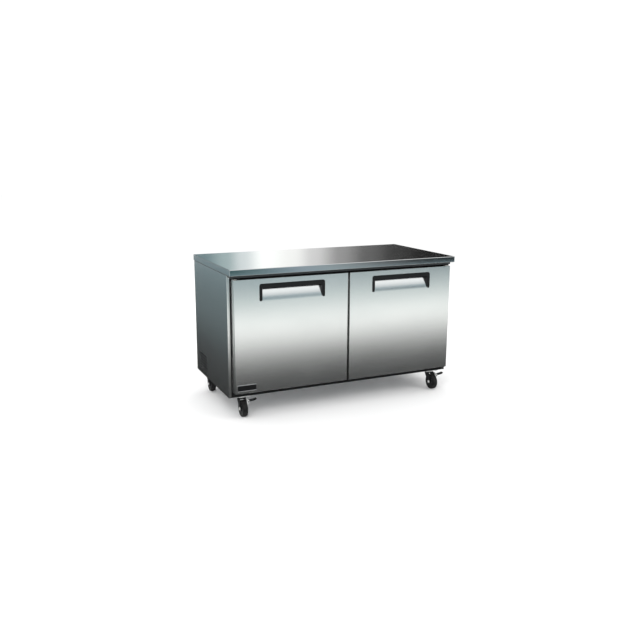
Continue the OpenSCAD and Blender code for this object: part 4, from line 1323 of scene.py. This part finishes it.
def make_evaporator_cover():
    """Lacquered cover over the coil: round outlet with a rolled lip, and fixing screws."""
    low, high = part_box("evaporator_housing")
    cover = block("cover", low, high)
    open_up(cover, facing(Z, -1))
    bevel_all(cover, 5 * MM, segments=5)
    thicken(cover, 1.4 * MM)
    cut(cover, rod("outlet", OUTLET_R * MM, OUTLET - mm(0, 5, 0), OUTLET + mm(0, 5, 0), 64),
        rod("knob_bore", 5 * MM, mm(200, 195, 640), mm(200, 205, 640), 32))
    lip = spun("lip", [(76.4, 0.2), (78.5, -1.4), (81, -1.6), (83, -0.4), (83, 0.6), (79.2, 0.8),
                       (78, 2), (78, 9), (76.4, 9), (76.4, 0.2)], OUTLET, Y, 64)
    screws = [pan_head("cover_screw", mm(x, 200, z), Y, -1) for x in (-248, 248) for z in (602, 794)]
    whole = weld_soft("evaporator_cover", [cover, lip, *screws], 32)
    fit(paint(whole, LINER_WHITE), "cabinet", "liner", "evaporator_housing")


def make_fan_guard():
    """Finger guard of round wires over the outlet, with a plain centre cap."""
    parts = []
    for radius in (24, 38, 52, 66, 79.5):
        clear_selection()
        bpy.ops.mesh.primitive_torus_add(location=OUTLET - mm(0, 3.2, 0), rotation=(math.pi / 2, 0, 0),
                                         major_radius=radius * MM,
                                         minor_radius=1.1 * MM, major_segments=72, minor_segments=8)
        parts.append(settle(bpy.context.object))
    for i in range(3):
        turn = math.radians(30 + 60 * i)
        arm = Vector((math.cos(turn), 0, math.sin(turn))) * 80 * MM
        at = OUTLET - mm(0, 2.2, 0)
        bar = rod("guard_bar", 1.2 * MM, at - arm, at + arm, 10)
        bevel_all(bar, 0.4 * MM, segments=2, angle=60)
        parts.append(bar)
    parts.append(spun("guard_cap", [(0, -4.6), (12, -4.2), (13.5, -3.2), (13.5, -1.8), (0, -1.6)],
                      OUTLET, Y, 36))
    fit(paint(weld_soft("fan_guard", parts, 40), ZINC), "cabinet", "zinc")


def fan_wheel(name, centre, radius):
    """Five cupped, pitched blades with round tips, on a domed hub, turning about Y."""
    columns, rows = 8, 6
    root, tip = 12, radius - 1
    clear_selection()
    bpy.ops.mesh.primitive_grid_add(x_subdivisions=columns, y_subdivisions=rows, size=1,
                                    location=centre + mm(0, 0, (root + tip) / 2),
                                    rotation=(math.pi / 2, 0, 0))
    blade = bpy.context.object
    blade.scale = ((40 if radius < 70 else 48) * MM, (tip - root) * MM, 1)
    settle(blade)
    pick(blade, "VERT", lambda v: v.co.z < centre.z + (root + 4) * MM)
    bpy.ops.transform.resize(value=(0.5, 1, 1), center_override=centre)
    done()
    width = max(v.co.x for v in blade.data.vertices) - centre.x
    for step in range(columns + 1):
        x = centre.x - width + 2 * width * step / columns
        reach = (x - centre.x) / MM
        nudge(blade, lambda v: abs(v.co.x - x) < width / columns * 0.999,
              mm(0, 0.10 * reach + 0.0035 * reach * reach, 0))
    corners = [v.index for v in blade.data.vertices
               if v.co.z > centre.z + (tip - 1) * MM and abs(v.co.x - centre.x) > width - 1e-5]
    pick(blade, "VERT", lambda v: v.index in corners)
    bpy.ops.mesh.bevel(offset=5 * MM, segments=5, affect="VERTICES")
    done()
    thicken(blade, 1.6 * MM)
    bevel_all(blade, 0.3 * MM, segments=2, angle=60)
    ring_of(blade, 5, centre, Y)
    hub = spun("hub", [(3.1, 8.8), (15, 8.8), (16, 7.8), (16, -6.5), (14.5, -8.4), (8, -8.8),
                       (3.1, -8.8), (3.1, 8.8)], centre, Y, 40)
    return weld_soft(name, [hub, blade])


def fan_motor(name, centre, strap_half):
    """Shaded-pole motor, open laminated stack and end bell, on a folded strap behind the fan."""
    can = spun("motor_can", [(0, 14), (8, 14), (8, 17), (21, 17.4), (22.6, 19), (22.6, 25),
                             (24, 25), (24, 39), (22.6, 39), (22.6, 46), (20.5, 49), (9, 50),
                             (0, 50)], centre, Y, 40)
    shaft = spun("shaft", [(0, -8), (2.6, -8), (3, -7.6), (3, 15), (0, 15)], centre, Y, 20)
    strap = eased_block("strap", centre + mm(-strap_half, 26.2, -9.8),
                        centre + mm(strap_half, 27.8, 9.8), 0.5 * MM)
    ribs = block("cooling_rib", centre + mm(-1, 39, 20), centre + mm(1, 46, 23.6))
    ring_of(ribs, 12, centre, Y)
    return weld_soft(name, [can, shaft, strap, ribs])


def make_evaporator_fan():
    wheel = fan_wheel("evaporator_fan_wheel", FAN_AT, 74)
    fit(paint(wheel, BLACK_MOULDING), "evaporator_fan", "black_plastic", "evaporator_fan_blade")
    motor = fan_motor("evaporator_motor", FAN_AT, 258)
    fit(paint(motor, MOTOR_METAL), "cabinet", "motor_metal", "evaporator_fan_motor")


def finned_block(name, low, high, axis, pitch):
    """Stack of thin fins between two corners, standing along an axis."""
    low, high = Vector(low), Vector(high)
    end = high.copy()
    end[axis] = low[axis] + 0.35 * MM
    fin = block(name, low, end)
    round_edges(fin, along(axis), 1.5 * MM, 2)
    count = int((high[axis] - low[axis]) / pitch) + 1
    step = [0.0, 0.0, 0.0]
    step[axis] = (high[axis] - low[axis] - 0.35 * MM) / (count - 1)
    return row_of(fin, count, step)


def return_bend(middle, across, out, reach, radius):
    """Hairpin of tube at the end of two rows."""
    across, out, middle = Vector(across), Vector(out), Vector(middle)
    points = [middle - across * reach - out * 4 * MM, middle - across * reach + out * reach,
              middle + across * reach + out * reach, middle + across * reach - out * 4 * MM]
    return bent_tube("return_bend", points, radius, reach * 0.97, 12)


def make_evaporator_coil():
    low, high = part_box("evaporator_coil")
    inset = 13 * MM
    fins = finned_block("fins", (low.x + inset, low.y, low.z),
                        (high.x - inset, high.y, high.z), X, 4 * MM)
    parts = [fins]
    for x0, x1 in ((low.x + inset - 1.5 * MM, low.x + inset),
                   (high.x - inset, high.x - inset + 1.5 * MM)):
        plate = eased_block("end_plate", (x0, low.y, low.z), (x1, high.y, high.z), 0.5 * MM)
        parts.append(plate)
    middle_y = (low.y + high.y) / 2
    for row in range(5):
        z = low.z + (row + 0.5) * (high.z - low.z) / 5
        parts.append(return_bend((low.x + inset, middle_y, z), (0, 1, 0), (-1, 0, 0), 9 * MM, 3.6 * MM))
        parts.append(return_bend((high.x - inset, middle_y, z), (0, 1, 0), (1, 0, 0), 9 * MM, 3.6 * MM))
    coil = weld_soft("evaporator_fins", parts)
    bends = lambda face: abs(face.center.x) > high.x - inset + 1.6 * MM
    fit(paint(coil, FIN_METAL, COPPER, bends), "cabinet", "aluminium_fins", "evaporator_coil")


KNOB_AT = mm(200, 200, 640)


def make_temperature_control():
    """Skirted knob with a grip bar, over a blank ticked dial, and the control body behind."""
    skirt = spun("skirt", [(3.1, -2), (15.4, -2), (16, -2.8), (16, -4.4), (14.6, -6), (13.8, -15.6),
                           (12.8, -17.4), (10.5, -18), (3.1, -18), (3.1, -2)], KNOB_AT, Y, 48)
    grip = block("grip_bar", KNOB_AT + mm(-3.4, -21.8, -13.6), KNOB_AT + mm(3.4, -14.5, 13.6))
    round_edges(grip, along(Y), 2.2 * MM, 5)
    bevel_all(grip, 0.8 * MM, segments=3, angle=40)
    flutes = eased_block("flute", KNOB_AT + mm(-0.7, -15, 13.2),
                         KNOB_AT + mm(0.7, -4.6, 15.2), 0.3 * MM)
    ring_of(flutes, 24, KNOB_AT, Y)
    knob = weld_soft("temperature_knob_piece", [skirt, grip, flutes])
    fit(paint(knob, NYLON), "thermostat_knob", "white_plastic", "temperature_knob")
    dial = spun("dial", [(5.2, -0.9), (26.5, -0.9), (27, -0.5), (27, 0.2), (5.2, 0.2), (5.2, -0.9)],
                KNOB_AT, Y, 64)
    tick = block("tick", KNOB_AT + mm(-0.5, -1.2, 20), KNOB_AT + mm(0.5, -0.7, 24.6))
    ring_of(tick, 20, KNOB_AT, Y)
    plate = weld_soft("temperature_dial", [dial, tick])
    raised = lambda face: face.center.y < KNOB_AT.y - 0.95 * MM
    fit(paint(plate, CHROME, BLACK_MOULDING, raised), "cabinet", "motor_metal")
    low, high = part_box("thermostat")
    body = eased_block("control_body", (low.x, KNOB_AT.y + 1.7 * MM, low.z), high, 2 * MM, segments=3)
    stem = spun("stem", [(0, -14), (2.6, -14), (3, -13.6), (3, 3), (0, 3)], KNOB_AT, Y, 20)
    tabs = row_of(block("terminal", KNOB_AT + mm(-12, 27, -3), KNOB_AT + mm(-11.2, 32, 3)), 3,
                  (11 * MM, 0, 0))
    control = weld_soft("temperature_control", [body, stem, tabs])
    fit(paint(control, BLACK_MOULDING), "cabinet", "black_plastic", "thermostat")


# ---- machine bay ----

CAN_AT = mm(-420, 255, 145)
CONDENSER_FAN_AT = mm(-676, 250, 214)


def make_compressor():
    """Welded steel can on a flanged base with feet, a terminal cover and a stub for the line."""
    can = spun("can", [(0, 0), (60, 0), (70, 4), (73, 12), (73, 52), (73.6, 54), (74, 56), (74, 60),
                       (73.6, 62), (72.6, 64), (72.6, 88), *arc(24, (48.6, 89), 0, 84, 8),
                       (30, 113.8), (0, 114)], CAN_AT, Z, 64)
    base = block("base", CAN_AT + mm(-100, -50, -3.8), CAN_AT + mm(100, 50, 0.4))
    round_edges(base, along(Z), 16 * MM, 6)
    bevel_all(base, 1.0 * MM, segments=3, angle=50)
    feet = []
    for x in (-86, 86):
        for y in (-40, 40):
            foot = spun("foot", [(0, -15.8), (9.4, -15.8), (10, -15), (10, -11.5), (7.8, -10),
                                 (7.8, -7.6), (10, -6.4), (10, -3.6), (6, -3.4), (6, 1.4), (5, 2),
                                 (0, 2)], CAN_AT + mm(x, y, 0), Z, 28)
            feet.append(foot)
    cover = block("terminal_cover", CAN_AT + mm(66, -25, 20), CAN_AT + mm(103.8, 25, 80))
    round_edges(cover, along(Z, lambda at: at.x > CAN_AT.x + 90 * MM), 7 * MM, 5)
    bevel_all(cover, 1.2 * MM, segments=3, angle=40)
    stubs = [spun("stub", [(0, 104), (5.6, 104), (5.6, 116), (4.6, 118), (0, 118)],
                  CAN_AT + mm(-40, 0, 0), Z, 24)]
    unit = weld_soft("compressor_unit", [can, base, *feet, cover, *stubs], 32)
    fit(paint(unit, CAN_ENAMEL), "cabinet", "compressor_paint", "compressor")


def make_condenser():
    """Finned coil with its return bends between end plates."""
    x0, x1, y0, y1, z0, z1 = -734, -696, 155, 345, 144, 284
    fins = finned_block("fins", mm(x0, y0, z0), mm(x1, y1, z1), Y, 3 * MM)
    parts = [fins]
    for y in (y0 - 0.8, y1 - 0.8):
        plate = eased_block("end_plate", mm(x0, y, z0), mm(x1, y + 1.6, z1), 0.5 * MM)
        parts.append(plate)
    for row in range(6):
        z = z0 + (row + 0.5) * (z1 - z0) / 6
        for y, out in ((y0, -1), (y1, 1)):
            parts.append(return_bend(mm(-715, y, z), (1, 0, 0), (0, out, 0), 9.5 * MM, 3.8 * MM))
    coil = weld_soft("condenser_fins", parts)
    bends = lambda face: abs(face.center.y - 250 * MM) > 96.2 * MM
    fit(paint(coil, FIN_METAL, COPPER, bends), "cabinet", "aluminium_fins", "condenser_coil")


def make_condenser_fan():
    """Folded shroud with a rolled throat, the fan and its motor, blowing along X."""
    at = CONDENSER_FAN_AT
    shroud = block("shroud", at + mm(-14, -97.8, -70), at + mm(28, 97.8, 70))
    open_up(shroud, lambda face: face.normal.x > 0.9 or abs(face.normal.z) > 0.9)
    bevel_all(shroud, 2.4 * MM, segments=4)
    thicken(shroud, 1.4 * MM)
    cut(shroud, rod("throat", 66 * MM, at - mm(20, 0, 0), at - mm(8, 0, 0), 64))
    lip = spun("throat_lip", [(64.4, -13), (66, -14), (66, -4), (67.4, -2.4), (66.4, -1.4),
                              (64.4, -3), (64.4, -13)], at, X, 64)
    motor = fan_motor("condenser_motor", at, 97)
    turned_motor = copy_of(motor, "condenser_motor", turn=-math.pi / 2, about=at)
    discard(motor)
    unit = weld_soft("condenser_motor", [shroud, lip, turned_motor])
    fit(paint(unit, MOTOR_METAL), "cabinet", "motor_metal", "condenser_fan_motor")
    upright = fan_wheel("upright_wheel", at, 61.5)
    wheel = copy_of(upright, "condenser_fan_wheel", turn=-math.pi / 2, about=at)
    discard(upright)
    fit(paint(wheel, BLACK_MOULDING), "condenser_fan", "black_plastic", "condenser_fan_blade")


def make_refrigerant_lines():
    """Discharge line to the condenser, and the liquid line through its drier."""
    hot = bent_tube("hot_line", [mm(-460, 255, 260), mm(-460, 255, 286), mm(-560, 255, 286),
                                 mm(-560, 136, 272), mm(-715, 136, 272)], 4 * MM, 13 * MM, 16)
    cool = bent_tube("cool_line", [mm(-715, 136, 156), mm(-180, 136, 156), mm(-180, 136, 296)],
                     3 * MM, 18 * MM, 14)
    joint = [bent_tube("riser", [mm(-715, 136, z), mm(-715, 150, z), mm(-715, 156, z + rise)],
                       3.6 * MM, 6 * MM, 12) for z, rise in ((272, -2), (156, 2))]
    drier = spun("drier", [(0, -50), (4, -50), (4.6, -47), (8.4, -41), (9, -38), (9, -15),
                           (9.0, -14), (8.4, -13), (8.4, -11), (9, -10), (9, 38), (8.4, 41),
                           (4.6, 47), (4, 50), (0, 50)], mm(-385, 136, 156), X, 28)
    lines = weld_soft("copper_lines", [hot, cool, *joint, drier], 40)
    fit(paint(lines, COPPER), "cabinet", "copper", "refrigerant_lines")


def make_drain_pan():
    low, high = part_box("drain_pan")
    pan = block("drain_tray", low, high)
    round_edges(pan, along(Z), 10 * MM, 6)
    open_up(pan, facing(Z, 1))
    bevel_all(pan, 2.5 * MM, segments=4, angle=60)
    thicken(pan, 1.3 * MM)
    bevel_all(pan, 0.3 * MM, segments=2, angle=60)
    fit(paint(soften(pan), GALVANISED), "cabinet", "galvanised", "drain_pan")


# ---- mains inlet and switch ----

INLET_AT = mm(560, 375, 180)
ROCKER_AT = mm(560, 371, 250)


def make_power_inlet():
    """Flanged inlet with chamfered socket and three flat pins, and the rocker's frame above it."""
    flange = block("flange", INLET_AT + mm(-18, 0, -14), INLET_AT + mm(18, 2.5, 14))
    round_edges(flange, along(Y), 4 * MM, 5)
    body = block("body", INLET_AT + mm(-14, -26, -10), INLET_AT + mm(14, 1, 10))
    round_edges(body, along(Y, lambda at: at.z > INLET_AT.z), 3 * MM, 3)
    socket = block("socket", INLET_AT + mm(-12, -18, -8), INLET_AT + mm(12, 4, 8))
    pick(socket, "EDGE", along(Y, lambda at: at.z > INLET_AT.z))
    bpy.ops.mesh.bevel(offset=4.5 * MM, segments=1, affect="EDGES")
    done()
    whole = weld("inlet", [flange, body])
    cut(whole, socket)
    bevel_all(whole, 0.4 * MM, segments=2, angle=50)
    pins = []
    for x, z in ((-7, -2), (7, -2), (0, 3)):
        pin = eased_block("pin", INLET_AT + mm(x - 1, -19, z - 2),
                          INLET_AT + mm(x + 1, -2, z + 2), 0.5 * MM)
        pins.append(pin)
    pin_faces = weld("pins", pins)
    case = block("rocker_frame", mm(550, 353, 236), mm(570, 376.5, 264))
    round_edges(case, along(Y), 1.5 * MM, 3)
    cut(case, block("rocker_space", mm(551.4, 361, 237.2), mm(568.6, 380, 262.8)))
    bevel_all(case, 0.4 * MM, segments=2, angle=50)
    fit(paint(weld_soft("mains_inlet", [whole, case]), BLACK_MOULDING), "cabinet", "black_plastic",
        "power_inlet")
    fit(paint(soften(pin_faces, 34), CHROME), "cabinet", "zinc")


def make_rocker():
    at = ROCKER_AT
    rocker = block("rocker_piece", at + mm(-8, -2, -10), at + mm(8, 5, 10))
    pick(rocker, "FACE", every)
    bpy.ops.mesh.bisect(plane_co=at, plane_no=(0, 0, 1))
    done()
    nudge(rocker, lambda v: v.co.y > at.y and v.co.z > at.z - 1 * MM, mm(0, -0.2, 0))
    nudge(rocker, lambda v: v.co.y > at.y and abs(v.co.z - at.z) < 1 * MM, mm(0, -2.0, 0))
    round_edges(rocker, along(X, lambda spot: spot.y > at.y and abs(spot.z - at.z) < 1 * MM), 6 * MM, 6)
    bevel_all(rocker, 0.8 * MM, segments=3, angle=40)
    fit(paint(soften(rocker, 34), ROCKER_RED), "rocker", "rocker", "power_switch")


GRILLE_SLOT = 300 * MM
GRILLE_BANKS = 3
GRILLE_ROWS = 8
GRILLE_BANK_PITCH = 380 * MM
GRILLE_ROW_PITCH = 17 * MM


def make_rear_grille():
    """Cover of the machine bay: banks of slots with rolled ends."""
    low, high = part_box("rear_grille")
    sheet = block("bay_cover", low, high)
    first = block("slot", (-650 * MM, low.y - 3 * MM, low.z + 20 * MM),
                  (-650 * MM + GRILLE_SLOT, high.y + 3 * MM, low.z + 26 * MM))
    round_edges(first, along(Y), 2.9 * MM, 5)
    row_of(first, GRILLE_ROWS, (0, 0, GRILLE_ROW_PITCH))
    row_of(first, GRILLE_BANKS, (GRILLE_BANK_PITCH, 0, 0))
    cut(sheet, first, block("rocker_hole", mm(549.8, 370, 235.8), mm(570.2, 380, 264.2)),
        block("inlet_hole", mm(545.8, 370, 169.8), mm(574.2, 380, 190.2)))
    bevel_all(sheet, 0.25 * MM, segments=1, angle=60)
    fit(paint(soften(sheet), GALVANISED), "cabinet", "galvanised", "rear_grille")


# ---- floor, light and glowing cards that paint reflections ----

def ramp(tree, value, stops):
    """Colour ramp through (position, colour) stops."""
    made = add_node(tree, "ShaderNodeValToRGB")
    feed(tree, made.inputs[0], value)
    made.color_ramp.interpolation = "EASE"
    points = made.color_ramp.elements
    while len(points) < len(stops):
        points.new(0.5)
    for point, (position, colour) in zip(points, stops):
        point.position = position
        point.color = (*colour, 1.0)
    return made.outputs[0]


def glow_card(name, corners, measure, stops):
    """A sheet of graded light that only shows in reflections. measure turns its place into 0 to 1."""
    mesh = bpy.data.meshes.new(name)
    mesh.from_pydata(corners, [], [tuple(range(len(corners)))])
    card = bpy.data.objects.new(name, mesh)
    bpy.context.scene.collection.objects.link(card)
    material = bpy.data.materials.new(name)
    material.use_nodes = True
    tree = material.node_tree
    tree.nodes.clear()
    place = add_node(tree, "ShaderNodeTexCoord").outputs["Object"]
    parts = add_node(tree, "ShaderNodeSeparateXYZ")
    feed(tree, parts.inputs[0], place)
    light = add_node(tree, "ShaderNodeEmission")
    feed(tree, light.inputs["Color"], ramp(tree, measure(tree, parts.outputs), stops))
    leave = add_node(tree, "ShaderNodeOutputMaterial")
    feed(tree, leave.inputs["Surface"], light.outputs[0])
    mesh.materials.append(material)
    for ray in ("camera", "diffuse", "shadow", "transmission", "volume_scatter"):
        setattr(card, f"visible_{ray}", False)
    return card


CARD_LIFT = 0.002
FRONT_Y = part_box("left_door_skin")[0].y
FRONT_REACH = 8.0
SIDE_REACH = 7.0


def front_floor_reflection_card():
    """Painted reflection for the doors: a glowing graded card lying on the floor in front, seen only in
    reflections.
    """
    stops = [
        (0.00, (0.06, 0.06, 0.06)), (0.07, (0.10, 0.10, 0.10)), (0.11, (0.16, 0.16, 0.16)),
        (0.15, (0.38, 0.38, 0.375)), (0.20, (0.92, 0.92, 0.91)), (0.25, (1.55, 1.55, 1.53)),
        (0.30, (1.85, 1.88, 1.84)), (0.36, (1.15, 1.22, 1.20)), (0.42, (0.80, 0.90, 0.90)),
        (0.48, (0.55, 0.67, 0.69)), (0.55, (0.40, 0.53, 0.58)), (0.65, (0.33, 0.46, 0.51)),
        (1.00, (0.30, 0.43, 0.49)),
    ]
    corners = [
        (-7, FRONT_Y, CARD_LIFT), (-7, FRONT_Y - FRONT_REACH, CARD_LIFT),
        (9, FRONT_Y - FRONT_REACH, CARD_LIFT), (9, FRONT_Y, CARD_LIFT),
    ]
    glow_card("front_floor_reflection_card", corners,
              lambda tree, at: spread(tree, at["Y"], FRONT_Y, FRONT_Y - FRONT_REACH), stops)


def far_strip_reflection_card():
    """Painted reflection for the worktop's front edge: a glowing card over the far part of the floor in
    front, which only that edge mirrors.
    """
    x0, x1, y0, y1, z = 0.97, 4.66, FRONT_Y - 5.1, FRONT_Y - FRONT_REACH, 3 * CARD_LIFT
    stops = [
        (0.00, (0.04, 0.11, 0.11)), (0.11, (0.13, 0.21, 0.22)), (0.20, (0.25, 0.34, 0.38)),
        (0.30, (0.40, 0.48, 0.55)), (0.40, (0.42, 0.50, 0.53)), (0.55, (0.32, 0.35, 0.36)),
        (0.64, (0.20, 0.21, 0.22)), (0.73, (0.11, 0.11, 0.11)), (0.82, (0.04, 0.04, 0.04)),
        (0.93, (0.01, 0.01, 0.01)),
    ]
    corners = [(x0 - 3, y0, z), (x0 - 3, y1, z), (x1 + 3, y1, z), (x1 + 3, y0, z)]
    glow_card("far_strip_reflection_card", corners, lambda tree, at: spread(tree, at["X"], x0, x1), stops)


def front_wall_reflection_card():
    """Painted reflection: a glowing card standing as the far wall in front, giving the bluish top of
    the doors' reflection.
    """
    y = FRONT_Y - FRONT_REACH
    stops = [
        (0.00, (0.30, 0.43, 0.49)), (0.10, (0.45, 0.56, 0.60)), (0.25, (1.00, 1.04, 1.06)),
        (0.50, (1.30, 1.33, 1.35)), (1.00, (1.50, 1.53, 1.55)),
    ]
    corners = [(-7, y, 0), (9, y, 0), (9, y, 6), (-7, y, 6)]
    glow_card("front_wall_reflection_card", corners, lambda tree, at: spread(tree, at["Z"], 0.0, 6.0), stops)


def side_floor_reflection_card(side):
    """Painted reflection for a side panel: a glowing graded card lying on the floor beside the cabinet,
    seen only in reflections.
    """
    x0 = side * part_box("right_side_panel")[1].x
    x1 = side * (abs(x0) + SIDE_REACH)
    stops = [
        (0.00, (0.035, 0.035, 0.035)), (0.04, (0.07, 0.074, 0.075)), (0.12, (0.16, 0.20, 0.21)),
        (0.30, (0.24, 0.33, 0.36)), (1.00, (0.385, 0.52, 0.585)),
    ]
    corners = [(x0, FRONT_Y, CARD_LIFT), (x1, FRONT_Y, CARD_LIFT), (x1, 8, CARD_LIFT),
               (x0, 8, CARD_LIFT)]
    glow_card(f"{'left' if side < 0 else 'right'}_floor_reflection_card", corners,
              lambda tree, at: spread(tree, at["X"], x0, x1), stops)


def rear_reflection_card():
    """Painted reflection: a glowing card standing as the wall behind the worktop, bluish at the left,
    bright, then dark towards the right.
    """
    y, low, high = 1.15, 0.93, 2.3
    x0, x1 = -1.2, 2.4
    stops = [
        (0.00, (0.06, 0.09, 0.10)), (0.12, (0.10, 0.15, 0.16)), (0.20, (0.21, 0.30, 0.32)),
        (0.25, (0.42, 0.53, 0.54)), (0.29, (0.80, 0.87, 0.88)), (0.34, (1.28, 1.31, 1.29)),
        (0.41, (1.12, 1.13, 1.11)), (0.46, (0.78, 0.78, 0.78)), (0.53, (0.36, 0.36, 0.36)),
        (0.60, (0.15, 0.15, 0.15)), (0.68, (0.055, 0.055, 0.055)), (0.76, (0.02, 0.02, 0.02)),
        (1.00, (0.015, 0.015, 0.015)),
    ]
    corners = [(x0 - 1.5, y, low), (x1 + 2, y, low), (x1 + 2, y, high), (x0 - 1.5, y, high)]
    glow_card("rear_reflection_card", corners, lambda tree, at: spread(tree, at["X"], x0, x1), stops)


def add_floor():
    bpy.ops.object.select_all(action="DESELECT")
    bpy.ops.mesh.primitive_plane_add(size=60, location=(0, 0, 0))
    floor = bpy.context.object
    floor.name = "studio_floor"
    made = Finish("studio_floor", Metallic=0.0, Specular_IOR_Level=0.0, Roughness=1.0)
    made.set("Base Color", (0.96, 0.96, 0.96, 1))
    floor.data.materials.append(made.material)


def soft_box(name, place, target, size, power):
    bpy.ops.object.light_add(type="AREA", location=place)
    lamp = bpy.context.object
    lamp.name = name
    lamp.rotation_euler = (Vector(target) - Vector(place)).to_track_quat("-Z", "Y").to_euler()
    lamp.data.shape = "RECTANGLE"
    lamp.data.size, lamp.data.size_y = size
    lamp.data.energy = power
    lamp.visible_glossy = False


def add_studio():
    add_floor()
    world = bpy.data.worlds.new("pale_studio")
    bpy.context.scene.world = world
    world.use_nodes = True
    sky = world.node_tree.nodes["Background"]
    sky.inputs["Color"].default_value = (1, 1, 1, 1)
    sky.inputs["Strength"].default_value = 1.05
    soft_box("key_box", (-2.6, -3.4, 3.4), (0, 0, 0.4), (2.4, 1.8), 70)
    soft_box("fill_box", (3.2, -3.0, 2.2), (0, 0, 0.4), (2.0, 2.0), 30)
    soft_box("rear_box", (0.5, 3.6, 3.2), (0, 0, 0.5), (3.0, 1.6), 50)
    front_floor_reflection_card()
    far_strip_reflection_card()
    front_wall_reflection_card()
    side_floor_reflection_card(-1)
    side_floor_reflection_card(1)
    rear_reflection_card()
    bpy.context.scene.view_settings.view_transform = "Standard"


for make in (
    make_worktop, make_rails, make_side_panels, make_back_panel, make_worktop_reveal_shade_seal,
    make_rear_screws, make_doors, make_badge, make_hinges, make_casters, make_shelves,
    make_evaporator_cover, make_fan_guard, make_evaporator_fan, make_evaporator_coil,
    make_temperature_control, make_compressor, make_condenser, make_condenser_fan,
    make_refrigerant_lines, make_drain_pan, make_power_inlet, make_rocker, make_rear_grille,
):
    make()
add_studio()
